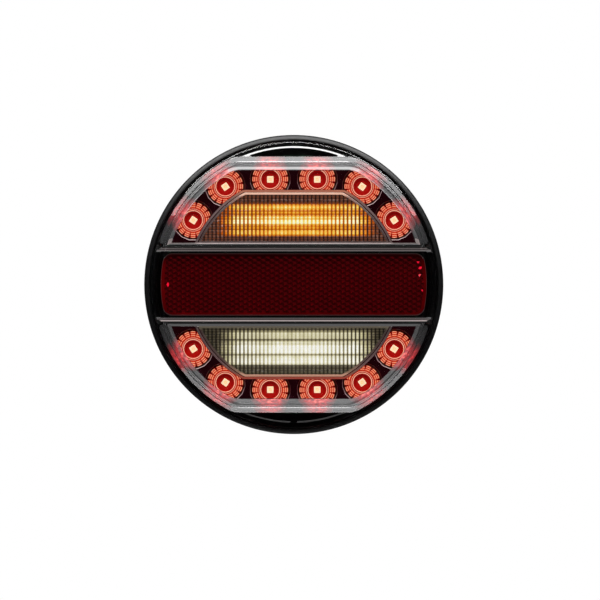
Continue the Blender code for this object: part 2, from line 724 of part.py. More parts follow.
def main():
    make_housing()
    make_seal()
    make_grommet()
    make_vent()
    make_outer_lens()
    make_reflector()
    make_board()
    make_components()
    for half, side, first, name, lens_finish in (
        ("upper", 1, 1, "indicator", "amber lens"),
        ("lower", -1, 7, "reversing", "white lens"),
    ):
        make_bezel(half, side)
        make_optics(half, side, first)
        make_signal_lamp(name, side, lens_finish)
    for side, x in stud_sides():
        make_stud(side, x)
        make_washer_and_nut(side, x)


clear_scene()
parts = new_collection("trailer_tail_light")
cutters = new_collection("cutters")
lamp_axis = new_lamp_axis()
main()
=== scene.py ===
"""Looks of the round LED trailer lamp: fine pieces, materials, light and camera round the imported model.

Pieces are drawn in the lamp's own axes, as in the CAD: local X runs to the right, local Y runs up and
local Z runs forwards from the mounting face. LAMP turns those axes into the world's.
"""

import math

import bmesh
import bpy
from mathutils import Matrix, Vector


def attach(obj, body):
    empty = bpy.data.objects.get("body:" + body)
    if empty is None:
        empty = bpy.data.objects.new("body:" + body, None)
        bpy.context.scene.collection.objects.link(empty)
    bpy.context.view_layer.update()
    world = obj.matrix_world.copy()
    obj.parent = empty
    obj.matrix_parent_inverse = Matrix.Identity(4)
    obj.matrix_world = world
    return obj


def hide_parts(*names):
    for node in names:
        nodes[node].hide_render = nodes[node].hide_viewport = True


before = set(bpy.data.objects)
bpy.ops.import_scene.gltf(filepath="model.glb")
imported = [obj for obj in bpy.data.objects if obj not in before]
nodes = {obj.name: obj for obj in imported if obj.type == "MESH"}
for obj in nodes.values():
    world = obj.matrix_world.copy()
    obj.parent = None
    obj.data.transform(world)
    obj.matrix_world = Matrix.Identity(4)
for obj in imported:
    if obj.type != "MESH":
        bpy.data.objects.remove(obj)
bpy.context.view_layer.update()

MM = 0.001
LAMP = Matrix.Rotation(math.pi / 2, 4, "X")
ROUND_STEPS = 192
ARC_STEPS = 64
CORNER_STEPS = 10
STRIP_STEPS = 12

# Outlines as (arc radius, top, bottom) in millimetres
WINDOW_FOOT = (66.3, 60.0, 15.3)
WINDOW_CREST = (65.8, 59.65, 15.7)
WINDOW_MIDDLE = (65.75, 58.6, 15.85)
WINDOW_FACE = (64.1, 57.05, 17.05)
HOLLOW_FOOT = (64.3, 58.1, 17.3)
HOLLOW_CREST = (62.1, 55.65, 18.2)
HOLLOW_MIDDLE = (61.85, 54.85, 18.35)
HOLLOW_FACE = (60.2, 53.3, 19.4)
WINDOW_CORNER = 14.0
BEZEL_OUTLINE = (61.6, 54.6, 19.0)
BEZEL_INSIDE = (60.5, 53.5, 19.7)
FRAME_OUTLINE = (49.9, 44.0, 19.0)
POCKET_OUTLINE = (49.0, 43.3, 15.0)
APERTURE_OUTLINE = (46.6, 38.4, 22.6)
PILLOW_OUTLINE = (48.6, 42.9, 19.4)
OPTIC_LANE_OUTER = (60.2, 53.2, 20.0)
OPTIC_LANE_INNER = (50.2, 44.3, 20.0)
BEZEL_CORNER = 5.0
INNER_CORNER = 2.0

# Distances in front of the mounting face, in millimetres
LENS_FRONT = 34.0
LENS_INSIDE = 32.0
CHANNEL_FRONT = 23.0
PLATE_FRONT = 23.0

STOP_PLACES = ((11.0, 49.2, False), (32.0, 45.8, True), (47.0, 30.1, True))
PETALS = 16
PILLOW_PITCH = (1.86, 2.42)
PILLOW_COLUMNS, PILLOW_ROWS = 27, 12
PILLOW_STEPS = (8, 6)
PILLOW_FOOT = 24.2 - 2.5 * PILLOW_PITCH[1]
GLOW_CENTRE = 1.5
STUD_X = 22.5
CABLE_UP, VENT_UP = -38.0, 38.0


# Meshes

def put(piece, place=(0.0, 0.0), turn=0.0):
    """Places a piece in the lamp's axes, in millimetres, and turns it round local Z."""
    move = Matrix.Translation((place[0] * MM, place[1] * MM, 0.0))
    piece.matrix_world = LAMP @ move @ Matrix.Rotation(turn, 4, "Z")
    return piece


def link_new(name, data):
    made = bpy.data.objects.new(name, data)
    bpy.context.scene.collection.objects.link(made)
    return made


def add_piece(name, mesh, place=(0.0, 0.0)):
    return put(link_new(name, mesh), place)


def mesh_of(name, points, faces):
    """A mesh from points in millimetres."""
    mesh = bpy.data.meshes.new(name)
    mesh.from_pydata([[value * MM for value in point] for point in points], [], faces)
    bm = bmesh.new()
    bm.from_mesh(mesh)
    bmesh.ops.recalc_face_normals(bm, faces=bm.faces)
    bm.to_mesh(mesh)
    bm.free()
    return mesh


def arc(centre, radius, start, end, steps):
    angles = [start + (end - start) * i / steps for i in range(steps + 1)]
    return [(centre[0] + radius * math.cos(a), centre[1] + radius * math.sin(a)) for a in angles]


def rounded_side(radius, start, top, corner, steps, corner_steps):
    """Part of an outline: up a circle from an angle, then round a corner to the level top."""
    reach = radius - corner
    centre = (math.sqrt(reach**2 - (top - corner) ** 2), top - corner)
    turn = math.atan2(centre[1], centre[0])
    side = arc((0.0, 0.0), radius, start, turn, steps)
    return side + arc(centre, corner, turn, math.pi / 2, corner_steps)[1:]


def half_moon(outline, corner, side=1):
    """Round on both sides, flat at top and bottom. Side -1 is the lower half's copy."""
    radius, top, bottom = outline
    right = rounded_side(radius, math.asin(bottom / radius), top, corner, ARC_STEPS, CORNER_STEPS)
    return [(x, side * up) for x, up in right + [(-x, up) for x, up in reversed(right)]]


def lane(outer, inner, side):
    """The band between two half-moons, open across the bottom of the inner one."""
    path = half_moon(outer, BEZEL_CORNER, side)
    return path + list(reversed(half_moon(inner, INNER_CORNER, side)))


def strip_outline(radius, half_height, corner):
    """A level strip with round ends that follow a circle, and rounded corners."""
    upper = rounded_side(radius, 0.0, half_height, corner, STRIP_STEPS, STRIP_STEPS // 2)
    right = [(x, -up) for x, up in reversed(upper[1:])] + upper
    return right + [(-x, -up) for x, up in right]


def tube_faces(count, levels):
    """Faces of a closed tube through rings of this many points: both end caps, then the sides."""
    faces = [tuple(range(count)), tuple(range((levels - 1) * count, levels * count))]
    for low in range(0, (levels - 1) * count, count):
        for i in range(count):
            j = (i + 1) % count
            faces.append((low + i, low + j, low + count + j, low + count + i))
    return faces


def loft(name, rings):
    """A closed solid through outlines of one point count, given as (outline, front)."""
    points = [(x, up, front) for outline, front in rings for x, up in outline]
    return add_piece(name, mesh_of(name, points, tube_faces(len(rings[0][0]), len(rings))))


def plate(name, outline, back, front):
    return loft(name, [(outline, back), (outline, front)])


def spun(name, profile, steps=ROUND_STEPS, place=(0.0, 0.0)):
    """A closed profile of (radius, front) points spun round local Z. A radius of 0 is a pole."""
    points, rings = [], []
    for radius, front in profile:
        if radius == 0.0:
            rings.append([len(points)] * steps)
            points.append((0.0, 0.0, front))
            continue
        rings.append(list(range(len(points), len(points) + steps)))
        for i in range(steps):
            angle = 2 * math.pi * i / steps
            points.append((radius * math.cos(angle), radius * math.sin(angle), front))
    faces = []
    for here, there in zip(rings, rings[1:] + rings[:1]):
        if len(set(here)) == 1 and len(set(there)) == 1:
            continue
        for i in range(steps):
            j = (i + 1) % steps
            faces.append(tuple(dict.fromkeys((here[i], here[j], there[j], there[i]))))
    return add_piece(name, mesh_of(name, points, faces), place)


def cylinder(name, radius, back, front, place=(0.0, 0.0), steps=48):
    return spun(name, [(0.0, back), (radius, back), (radius, front), (0.0, front)], steps, place)


def box(name, size, back, front, turn=0.0, place=(0.0, 0.0)):
    x, y = size[0] / 2, size[1] / 2
    return put(plate(name, [(x, -y), (x, y), (-x, y), (-x, -y)], back, front), place, turn)


def hexagon(name, across_flats, back, front, place=(0.0, 0.0)):
    radius = across_flats / 2 / math.cos(math.pi / 6)
    angles = [math.pi / 3 * i for i in range(6)]
    return put(plate(name, [(radius * math.cos(a), radius * math.sin(a)) for a in angles], back, front), place)


def apply_modifiers(piece):
    """Replaces a piece's mesh with the evaluated one."""
    bpy.context.view_layer.update()
    evaluated = piece.evaluated_get(bpy.context.evaluated_depsgraph_get())
    mesh = bpy.data.meshes.new_from_object(evaluated)
    piece.modifiers.clear()
    piece.data = mesh
    return piece


def combine(target, others, operation):
    for other in others:
        modifier = target.modifiers.new(operation, "BOOLEAN")
        modifier.operation = operation
        modifier.object = other
    apply_modifiers(target)
    for other in others:
        bpy.data.objects.remove(other, do_unlink=True)
    return target


def add(target, *others):
    return combine(target, others, "UNION")


def cut(target, *others):
    return combine(target, others, "DIFFERENCE")


def keep_inside(target, other):
    return combine(target, [other], "INTERSECT")


def bevel(piece, width, angle=30.0, segments=2):
    modifier = piece.modifiers.new("edge", "BEVEL")
    modifier.width = width * MM
    modifier.segments = segments
    modifier.limit_method = "ANGLE"
    modifier.angle_limit = math.radians(angle)
    modifier.harden_normals = False
    return apply_modifiers(piece)


def finish(piece, slot, *materials, body="lamp", replaces=(), smooth_angle=32.0):
    """Gives a piece its materials, shading, body and the CAD nodes it stands for. Its record slot is not used."""
    if len(materials):
        kept = [polygon.material_index for polygon in piece.data.polygons]
        piece.data.materials.clear()
        for material in materials:
            piece.data.materials.append(material)
        if len(materials) > 1:
            piece.data.polygons.foreach_set("material_index", kept)
    piece.data.shade_smooth()
    piece.data.set_sharp_from_angle(angle=math.radians(smooth_angle))
    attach(piece, body)
    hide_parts(*replaces)
    return piece


# Materials

NOISE_SPAN = (0.3, 0.7)  # Where nearly all of a noise texture's values lie
POLYCARBONATE_IOR = 1.58
ACRYLIC_IOR = 1.49
BLACK = (0.0, 0.0, 0.0)


class Nodes:
    """Short calls that add nodes to a tree. A value is a number or another node's output."""

    def __init__(self, tree):
        self.nodes, self.links = tree.nodes, tree.links

    def feed(self, socket, value):
        if isinstance(value, (int, float)):
            socket.default_value = value
        else:
            self.links.new(value, socket)

    def math(self, operation, first, second=0.0):
        node = self.nodes.new("ShaderNodeMath")
        node.operation = operation
        for socket, value in zip(node.inputs, (first, second)):
            self.feed(socket, value)
        return node.outputs[0]

    def plus(self, first, second):
        return self.math("ADD", first, second)

    def times(self, first, second):
        return self.math("MULTIPLY", first, second)

    def size(self, value):
        return self.math("ABSOLUTE", value)

    def spread(self, value, low, high, to_low, to_high, ease="LINEAR"):
        node = self.nodes.new("ShaderNodeMapRange")
        node.interpolation_type = ease
        for socket, number in zip(node.inputs, (value, low, high, to_low, to_high)):
            self.feed(socket, number)
        return node.outputs["Result"]

    def split(self, vector):
        node = self.nodes.new("ShaderNodeSeparateXYZ")
        self.links.new(vector, node.inputs[0])
        return node.outputs


class Look(Nodes):
    """A Principled material, with short calls for what varies over the surface."""

    def __init__(self, name, **values):
        self.material = bpy.data.materials.new(name)
        self.material.use_nodes = True
        super().__init__(self.material.node_tree)
        self.shader = self.nodes["Principled BSDF"]
        self.texture = self.nodes.new("ShaderNodeTexCoord").outputs
        for name, value in values.items():
            self.shader.inputs[name.replace("_", " ")].default_value = value

    def to(self, output, name):
        self.links.new(output, self.shader.inputs[name])

    def place(self):
        """The point in the piece's own axes, in metres."""
        return self.split(self.texture["Object"])

    def facing(self):
        """The surface's direction in the piece's own axes."""
        return self.split(self.texture["Normal"])

    def noise(self, scale, detail=2.0, stretch=(1.0, 1.0, 1.0)):
        """Noise of this many cells to the metre."""
        mapping = self.nodes.new("ShaderNodeMapping")
        mapping.inputs["Scale"].default_value = stretch
        self.links.new(self.texture["Object"], mapping.inputs["Vector"])
        node = self.nodes.new("ShaderNodeTexNoise")
        node.inputs["Scale"].default_value = scale
        node.inputs["Detail"].default_value = detail
        self.links.new(mapping.outputs["Vector"], node.inputs["Vector"])
        return node.outputs["Fac"]

    def wander(self, scale, low, high, detail=2.0, stretch=(1.0, 1.0, 1.0)):
        """A value that drifts between low and high, by noise of this many cells to the metre."""
        return self.spread(self.noise(scale, detail, stretch), *NOISE_SPAN, low, high)

    def sum(self, first, second):
        """Two colours added."""
        node = self.nodes.new("ShaderNodeVectorMath")
        node.operation = "ADD"
        self.links.new(first, node.inputs[0])
        self.links.new(second, node.inputs[1])
        return node.outputs[0]

    def ramp(self, value, stops, ease="LINEAR"):
        """A colour ramp through (position, grey or colour) stops."""
        node = self.nodes.new("ShaderNodeValToRGB")
        node.color_ramp.interpolation = ease
        elements = node.color_ramp.elements
        while len(elements) < len(stops):
            elements.new(0.5)
        for element, (position, colour) in zip(elements, stops):
            element.position = position
            grey = isinstance(colour, (int, float))
            element.color = (colour, colour, colour, 1.0) if grey else (*colour, 1.0)
        self.feed(node.inputs["Fac"], value)
        return node.outputs["Color"]

    def profile(self, distance, stops):
        """A ramp along a distance in metres, with its stops in millimetres."""
        low, high = stops[0][0], stops[-1][0]
        level = self.spread(distance, low * MM, high * MM, 0.0, 1.0)
        return self.ramp(level, [((at - low) / (high - low), colour) for at, colour in stops])

    def mottle(self, scale, dark, light, detail=2.0):
        """A base colour that drifts from dark to light."""
        self.to(self.ramp(self.noise(scale, detail), list(zip(NOISE_SPAN, (dark, light)))), "Base Color")

    def roughen(self, scale, low, high, detail=2.0):
        """Roughness that drifts from low to high."""
        self.to(self.wander(scale, low, high, detail), "Roughness")

    def vary(self, colour, share, scale, roughness, swing, detail=2.0):
        """Colour and roughness that drift a little."""
        light = [min(1.0, channel * (1 + share)) for channel in colour]
        self.mottle(scale, dimmed(colour, 1 - share), light, detail)
        self.roughen(scale * 3.1, roughness - swing, roughness + swing, detail)
        return self

    def bump(self, height, distance_mm, strength=1.0):
        node = self.nodes.new("ShaderNodeBump")
        node.inputs["Strength"].default_value = strength
        node.inputs["Distance"].default_value = distance_mm * MM
        self.links.new(height, node.inputs["Height"])
        self.to(node.outputs["Normal"], "Normal")
        return self

    def relief(self, distance_mm, strength, *cells):
        """Fine bumps from noise, given as for noise. It ends a look, so it returns the material."""
        return self.bump(self.noise(*cells), distance_mm, strength).material

    def glow(self, colour):
        """Emission from a colour output or a plain colour."""
        if isinstance(colour, tuple):
            self.shader.inputs["Emission Color"].default_value = (*colour, 1.0)
        else:
            self.to(colour, "Emission Color")
        self.shader.inputs["Emission Strength"].default_value = 1.0
        return self


def dimmed(colour, share):
    return [channel * share for channel in colour]


def black_plastic(name="housing_black", roughness=0.36, gloss=0.5):
    look = Look(name, Specular_IOR_Level=gloss).vary((0.0055, 0.0055, 0.006), 0.25, 180.0, roughness, 0.05)
    return look.relief(0.012, 0.5, 2600.0, 3.0)


def gloss_black(name, glow=BLACK):
    look = Look(name).vary((0.006, 0.0015, 0.003), 0.3, 140.0, 0.1, 0.03).glow(glow)
    return look.relief(0.01, 0.4, 260.0, 1.0)


def painted_edge_highlight():
    """The polished corners of the bezels, with a painted highlight: a glow on the corners that face upwards,
    standing for the light from above.
    """
    look = Look("bezel_edge", Coat_Weight=1.0, Coat_Roughness=0.05).vary((0.1, 0.08, 0.082), 0.2, 400.0, 0.2, 0.05)
    tilt = look.plus(look.facing()["Y"], look.wander(300.0, -0.06, 0.06))
    look.glow(look.ramp(look.spread(tilt, -0.2, 0.8, 0.0, 1.0), [
        (0.0, (0.004, 0.001, 0.002)), (0.25, (0.02, 0.008, 0.01)), (0.6, (0.4, 0.29, 0.3)),
        (1.0, (0.85, 0.7, 0.68)),
    ]))
    return look.relief(0.005, 0.3, 900.0)


def clear_plastic():
    """Polished polycarbonate, with the faintest flow lines of the moulding."""
    look = Look("clear_lens", IOR=POLYCARBONATE_IOR, Transmission_Weight=1.0)
    look.mottle(60.0, (0.965, 0.965, 0.97), (0.985, 0.985, 0.985))
    look.roughen(240.0, 0.0072, 0.0168)
    return look.relief(0.004, 0.15, 120.0, 1.0)


def near_optics(look):
    """Distance in metres to the nearest optic's axis, using the symmetry of the four quarters."""
    x, up, _ = look.place()
    x, up = look.size(x), look.size(up)
    nearest = None
    for centre_x, centre_up, _ in STOP_PLACES:
        across, along = look.plus(x, -centre_x * MM), look.plus(up, -centre_up * MM)
        square = look.plus(look.times(across, across), look.times(along, along))
        nearest = square if nearest is None else look.math("MINIMUM", nearest, square)
    return look.math("SQRT", nearest)


# Painted glow of the windows' walls and lips, standing for light reflected from above and below: greys from the top
# of the lamp (0) through its sides (0.5) to its bottom (1)
WALL_GREY = (
    (0.0, 0.12), (0.05, 0.12), (0.09, 0.09), (0.15, 0.04), (0.5, 0.006), (0.85, 0.03), (0.95, 0.06), (1.0, 0.1),
)
LIP_GREY = ((0.0, 0.6), (0.1, 0.6), (0.14, 0.1), (0.5, 0.012), (0.88, 0.05), (0.94, 0.1), (1.0, 0.1))
# Painted red reflection of the optics on a wall, from far from an optic (0) to beside one (1)
WALL_RED = ((0.0, BLACK), (0.35, (0.2, 0.001, 0.004)), (0.7, (0.6, 0.01, 0.016)), (1.0, (0.95, 0.14, 0.11)))


def lit_wall(name, clear, greys):
    """Clear walls with painted stray light: a grey glow where they face up or down, standing for light reflected
    from above and below, and a red glow where they pass an optic, a painted reflection of it.

    A normal is turned round on faces seen from behind, so only its size is used. The sign comes from the place."""
    look = Look(name, IOR=POLYCARBONATE_IOR, Transmission_Weight=clear)
    look.mottle(200.0, (0.018, 0.017, 0.02), (0.028, 0.026, 0.03))
    reach = look.spread(near_optics(look), 10.4 * MM, 5.6 * MM, 0.0, 0.95)
    streaks = look.spread(look.noise(520.0), 0.35, 0.65, 0.4, 1.1)
    red = look.ramp(look.times(reach, streaks), WALL_RED)
    steepness = look.size(look.facing()["Y"])
    upper = look.times(steepness, look.math("SIGN", look.place()["Y"]))
    look.glow(look.sum(red, look.ramp(look.spread(upper, 1.0, -1.0, 0.0, 1.0), greys)))
    look.roughen(240.0, 0.13, 0.19)
    return look.relief(0.002, 0.1, 300.0, 1.0)


def lit_sill():
    """The edge along the foot of the upper window, with a painted highlight: a glow that stands for the light it
    catches from the amber lens behind it.
    """
    look = Look("lens_sill", IOR=POLYCARBONATE_IOR, Transmission_Weight=0.1, Base_Color=(0.03, 0.026, 0.028, 1.0))
    light = look.spread(look.size(look.place()["X"]), 44.0 * MM, 47.0 * MM, 0.62, 0.2)
    level = look.times(light, look.wander(500.0, 0.85, 1.15))
    look.glow(look.ramp(level, [(0.0, BLACK), (1.0, (1.0, 0.8, 0.76))]))
    return look.relief(0.004, 0.2, 500.0, 1.0)


def frosted_step():
    """The matt ring round the lens's land, with painted light: its colour is white at the top, where the light falls
    on it, and grey at the bottom.
    """
    look = Look("lens_step")
    look.to(look.profile(look.place()["Y"], [(-60.0, 0.05), (-12.0, 0.04), (48.0, 0.5), (60.0, 0.8)]), "Base Color")
    look.roughen(300.0, 0.34, 0.46)
    return look.relief(0.01, 0.3, 1200.0)


# Painted glow of the channel's edges, standing for thin lines of stray light, by height in millimetres, from the
# lower edge to the upper one
EDGE_GREY = (
    (-18.0, 0.95), (-17.0, 0.9), (-16.8, 0.26), (-16.5, 0.05), (-15.95, 0.03), (-15.75, 0.05), (-15.5, 0.5),
    (-15.1, 0.8), (15.1, 0.95), (15.5, 0.6), (15.75, 0.22), (15.9, 0.06), (16.2, 0.03), (16.6, 0.05), (17.0, 0.14),
)


def channel_edge():
    """The walls along the channel between the windows: clear edges with thin lines of stray light painted on as a
    glow.
    """
    look = Look("lens_edge", IOR=POLYCARBONATE_IOR, Transmission_Weight=0.4)
    look.mottle(200.0, (0.018, 0.015, 0.016), (0.028, 0.024, 0.026))
    stops = [(up, (grey, 0.86 * grey, 0.84 * grey)) for up, grey in EDGE_GREY]
    look.glow(look.profile(look.place()["Y"], stops))
    look.roughen(240.0, 0.08, 0.14)
    return look.relief(0.002, 0.1, 300.0, 1.0)


def reflector_red(name, colour, roughness, glow, shine):
    look = Look(name, Specular_IOR_Level=shine, IOR=ACRYLIC_IOR)
    look.vary(colour, 0.3, 90.0, roughness, 0.05).glow(glow)
    return look.relief(0.01, 0.3, 900.0, 1.0)


def prism_red():
    """Prisms with a painted glow by which way each one faces, standing for the light they send back, so they show as
    a fine red weave on black.
    """
    look = Look("reflector_prisms", Specular_IOR_Level=0.0, IOR=ACRYLIC_IOR)
    look.vary((0.012, 0.0001, 0.0002), 0.3, 90.0, 0.3, 0.05)
    facing = look.facing()
    tilt = look.plus(facing["Y"], look.times(facing["X"], 0.25))
    level = look.spread(look.plus(tilt, look.wander(700.0, -0.08, 0.08)), -0.3, 0.3, 0.0, 1.0)
    look.glow(look.ramp(level, [
        (0.0, (0.052, 0.001, 0.0022)), (0.5, (0.026, 0.0007, 0.0012)), (1.0, (0.01, 0.0004, 0.0006)),
    ]))
    return look.relief(0.01, 0.3, 900.0, 1.0)


def lit_red(name, inner, outer, reach=(2.0, 8.6), lean=0.0):
    """A lit face of an optic. Its glow runs from inner to outer with the distance from the LED in millimetres, and
    lean moves it towards outer with height."""
    look = Look(name, Roughness=0.15, Specular_IOR_Level=0.12)
    x, up, _ = look.place()
    distance = look.math("SQRT", look.plus(look.times(x, x), look.times(up, up)))
    level = look.spread(distance, reach[0] * MM, reach[1] * MM, 0.0, 1.0)
    level = look.plus(look.plus(level, look.wander(900.0, -0.2, 0.2)), look.times(up, lean))
    base = (0.08, 0.001, 0.001)
    look.mottle(500.0, dimmed(base, 0.7), base)
    look.glow(look.ramp(level, [(0.0, inner), (1.0, outer)]))
    return look.relief(0.008, 0.3, 1500.0, 1.0)


def pillow_glow(name, side, rows, colours, half_width, base):
    """A pillow lens lit from behind: rows of light cut into bars by its columns, with faint beads outside them."""
    look = Look(name, IOR=1.5, Specular_IOR_Level=0.2)
    x, up, _ = look.place()
    row = look.profile(look.times(up, float(side)), rows)
    out = look.size(look.plus(x, -GLOW_CENTRE * MM))
    share = look.math("FRACT", look.plus(look.math("DIVIDE", x, PILLOW_PITCH[0] * MM), 200.5))
    off = look.size(look.times(look.plus(share, -0.5), 2.0))
    bar = look.ramp(off, [(0.0, 1.0), (0.42, 0.92), (0.72, 0.25), (1.0, 0.0)], "EASE")
    contrast = look.spread(out, 8.0 * MM, (half_width - 6.0) * MM, 0.24, 1.0)
    barred = look.math("SUBTRACT", 1.0, look.times(contrast, look.math("SUBTRACT", 1.0, bar)))
    reach = look.spread(out, (half_width - 8.0) * MM, (half_width + 2.0) * MM, 1.0, 0.0)
    dapple = look.wander(420.0, 0.86, 1.1, stretch=(1.0, 0.4, 1.0))
    light = look.times(look.times(row, barred), look.times(reach, dapple))
    half_rows = look.math("DIVIDE", look.size(up), 0.5 * PILLOW_PITCH[1] * MM)
    cell = look.math("FRACT", look.plus(half_rows, -0.25))
    bead = look.times(bar, look.ramp(cell, [(0.0, 0.3), (0.5, 1.0), (1.0, 0.3)], "EASE"))
    look.glow(look.ramp(look.plus(look.times(light, 1.02), look.times(bead, 0.19)), colours))
    look.mottle(300.0, dimmed(base, 0.8), base)
    look.roughen(700.0, 0.08, 0.16)
    return look.relief(0.005, 0.3, 500.0, 1.0)


def border_glow(name, stops):
    """A clear border with stray light painted on as a glow that carries to its edges, by height in millimetres."""
    look = Look(name, Specular_IOR_Level=0.5, Base_Color=(0.06, 0.045, 0.042, 1.0))
    look.roughen(300.0, 0.1, 0.2)
    look.glow(look.profile(look.size(look.place()["Y"]), stops))
    return look.relief(0.01, 0.4, 900.0, 1.0, (1.0, 0.2, 1.0))


def chip_face(name, middle, edge):
    """A lit face of an LED package, mottled between two colours."""
    look = Look(name, Roughness=0.35)
    cloud = look.noise(1600.0)
    look.to(look.ramp(cloud, [(0.3, dimmed(edge, 0.85)), (0.7, edge)]), "Base Color")
    look.glow(look.ramp(cloud, [(0.35, middle), (0.65, edge)]))
    return look.relief(0.006, 0.4, 2600.0)


# Colour, how far it drifts, at what scale, roughness, its swing, then depth, strength and scale of the relief
PLAIN_LOOKS = {
    "rubber_black": ((0.014, 0.014, 0.014), 0.3, 260.0, 0.72, 0.08, 0.02, 0.6, 2200.0, 3.0),
    "reflector_white": ((0.8, 0.8, 0.78), 0.05, 120.0, 0.3, 0.06, 0.01, 0.4, 1500.0),
    "electronics_black": ((0.022, 0.022, 0.024), 0.2, 900.0, 0.5, 0.06, 0.01, 0.5, 3000.0),
}


def plain(name):
    colour, share, scale, roughness, swing, *relief = PLAIN_LOOKS[name]
    return Look(name).vary(colour, share, scale, roughness, swing).relief(*relief)


def zinc():
    look = Look("zinc_steel", Metallic=1.0).vary((0.56, 0.57, 0.58), 0.12, 420.0, 0.3, 0.07, 3.0)
    return look.relief(0.01, 0.5, 1800.0, 2.0, (1.0, 1.0, 0.15))


def board_mask():
    """Solder mask over copper, with the tracks as slightly raised, lighter lines."""
    look = Look("board_green", IOR=1.5)
    cells = look.nodes.new("ShaderNodeTexVoronoi")
    cells.distance = "MANHATTAN"
    cells.inputs["Scale"].default_value = 140.0
    look.links.new(look.texture["Object"], cells.inputs["Vector"])
    tracks = look.ramp(cells.outputs["Distance"], [(0.4, 0.0), (0.44, 1.0), (0.5, 1.0), (0.54, 0.0)])
    look.to(look.ramp(tracks, [(0.0, (0.004, 0.026, 0.012)), (1.0, (0.01, 0.05, 0.024))]), "Base Color")
    look.roughen(300.0, 0.32, 0.48)
    return look.bump(tracks, 0.02, 0.6).material


# Outer lens

LENS_PROFILE = (
    # radius, front
    (0.0, 13.2), (63.98, 13.2), (64.72, 12.4), (64.8, 12.0), (66.35, 12.0), (67.05, 11.7), (67.2, 11.5), (67.2, 9.8),
    (62.4, 9.8), (62.4, 11.2), (0.0, 11.2),
)
WINDOW_OUTSIDE = ((WINDOW_FOOT, 11.5), (WINDOW_CREST, 31.4), (WINDOW_MIDDLE, 32.45), (WINDOW_FACE, LENS_FRONT))
NOTCH_RADIUS, NOTCH_TOP, NOTCH_END = 1.55, -61.8, -67.4


def hollow_inside(side):
    """(outline, front) stations of a window's hollow. Two ledges break its walls, and a line round the face of the
    upper one catches the light."""
    stations = [(HOLLOW_FOOT, 9.0), (HOLLOW_FOOT, 19.0)]
    for share in (0.34, 0.67):
        front = 19.0 + 9.0 * share
        stations.append((mixed(HOLLOW_FOOT, HOLLOW_CREST, share - 0.05), front))
        stations.append((mixed(HOLLOW_FOOT, HOLLOW_CREST, share + 0.05), front + 0.2))
    stations += [(HOLLOW_CREST, 28.0), (HOLLOW_MIDDLE, 29.35)]
    if side > 0:
        stations.append((grown(HOLLOW_FACE, 0.32), 31.68))
    return stations + [(HOLLOW_FACE, LENS_INSIDE)]


def make_lens():
    lens = spun("lamp_lens", LENS_PROFILE)
    add(lens, plate("channel_block", strip_outline(64.1, 17.0, 1.0), 11.5, CHANNEL_FRONT))
    for side in (1, -1):
        rings = [(half_moon(outline, WINDOW_CORNER, side), front) for outline, front in WINDOW_OUTSIDE]
        add(lens, loft("window_block", rings))
    for side in (1, -1):
        rings = [(half_moon(outline, WINDOW_CORNER - 2.0, side), front) for outline, front in hollow_inside(side)]
        cut(lens, loft("window_hollow", rings))
    cut(lens, plate("channel_hollow", strip_outline(62.1, 17.6, 1.0), 9.0, 21.0))
    notch = arc((0.0, NOTCH_TOP - NOTCH_RADIUS), NOTCH_RADIUS, 0.0, math.pi, 12)
    notch += [(-NOTCH_RADIUS, NOTCH_END), (NOTCH_RADIUS, NOTCH_END)]
    cut(lens, plate("notch", notch, 12.2, 15.0))
    paint(lens, lens_part)
    looks = [clear_plastic(), lit_wall("lens_wall", 0.16, WALL_GREY), frosted_step(), channel_edge()]
    looks += [lit_wall("lens_lip", 0.05, LIP_GREY), lit_sill()]
    finish(lens, "clear_lens", *looks, replaces=["outer_lens"], smooth_angle=14.0)


def mixed(first, second, share):
    return tuple(a + (b - a) * share for a, b in zip(first, second))


def grown(outline, by):
    radius, top, bottom = outline
    return (radius + by, top + by, bottom - by)


def lens_part(spot, normal):
    """The material of a face: 1 on the walls inside the windows, 2 on the land's frosted step, 3 along the channel,
    4 and 5 on the windows' lips, and 0 elsewhere."""
    x, up, front = (value / MM for value in spot)
    if 63.7 < math.hypot(x, up) < 64.8 and 12.3 < front < 13.2 and normal.z > 0.3:
        return 2 if abs(up) > 17.0 else 0
    if 15.2 < abs(up) < 17.2 and front > 22.9 and normal.y * up < 0 and normal.z < 0.95:
        return 3
    inward = normal.x * x + normal.y * up < 0
    in_channel = abs(up) < 17.8 and 11.6 < front < 20.9 and inward and abs(normal.z) < 0.3
    in_window = abs(up) > 19.0 and 19.0 < front < 31.9 and 0.05 < abs(normal.z) < 0.95
    if in_window and abs(up) < 21.0:
        return 5 if up > 0 and front > 29.4 else 1
    if in_window and inward:
        return 4 if front > 29.4 else 1
    return int(in_channel)


def paint(piece, chooser):
    """Sets each face's material number from its centre and its normal."""
    for polygon in piece.data.polygons:
        polygon.material_index = chooser(polygon.center, polygon.normal)


# Reflector

ROW_HEIGHT = 0.866  # Of a triangular lattice, in steps


def corner_cubes(radius, half_height, step, depth, floor):
    """A field of cube corners: a triangular lattice whose heights repeat in threes."""
    rows = int(half_height / (step * ROW_HEIGHT)) + 2
    columns = int(radius / step) + 2
    index, points, faces = {}, [], []
    for row in range(-rows, rows + 1):
        for column in range(-columns, columns + 1):
            along = column - (row - row % 2) // 2
            index[column, row] = len(points)
            x = (column + row % 2 * 0.5) * step
            points.append((x, row * step * ROW_HEIGHT, floor + depth * ((along - row) % 3)))
    for row in range(-rows, rows):
        for column in range(-columns, columns):
            here, right = index[column, row], index[column + 1, row]
            up, up_right = index[column, row + 1], index[column + 1, row + 1]
            if row % 2:
                faces += [(here, right, up_right), (here, up_right, up)]
                continue
            faces.append((here, right, up))
            if column > -columns:
                faces.append((here, up, index[column - 1, row + 1]))
    return points, faces


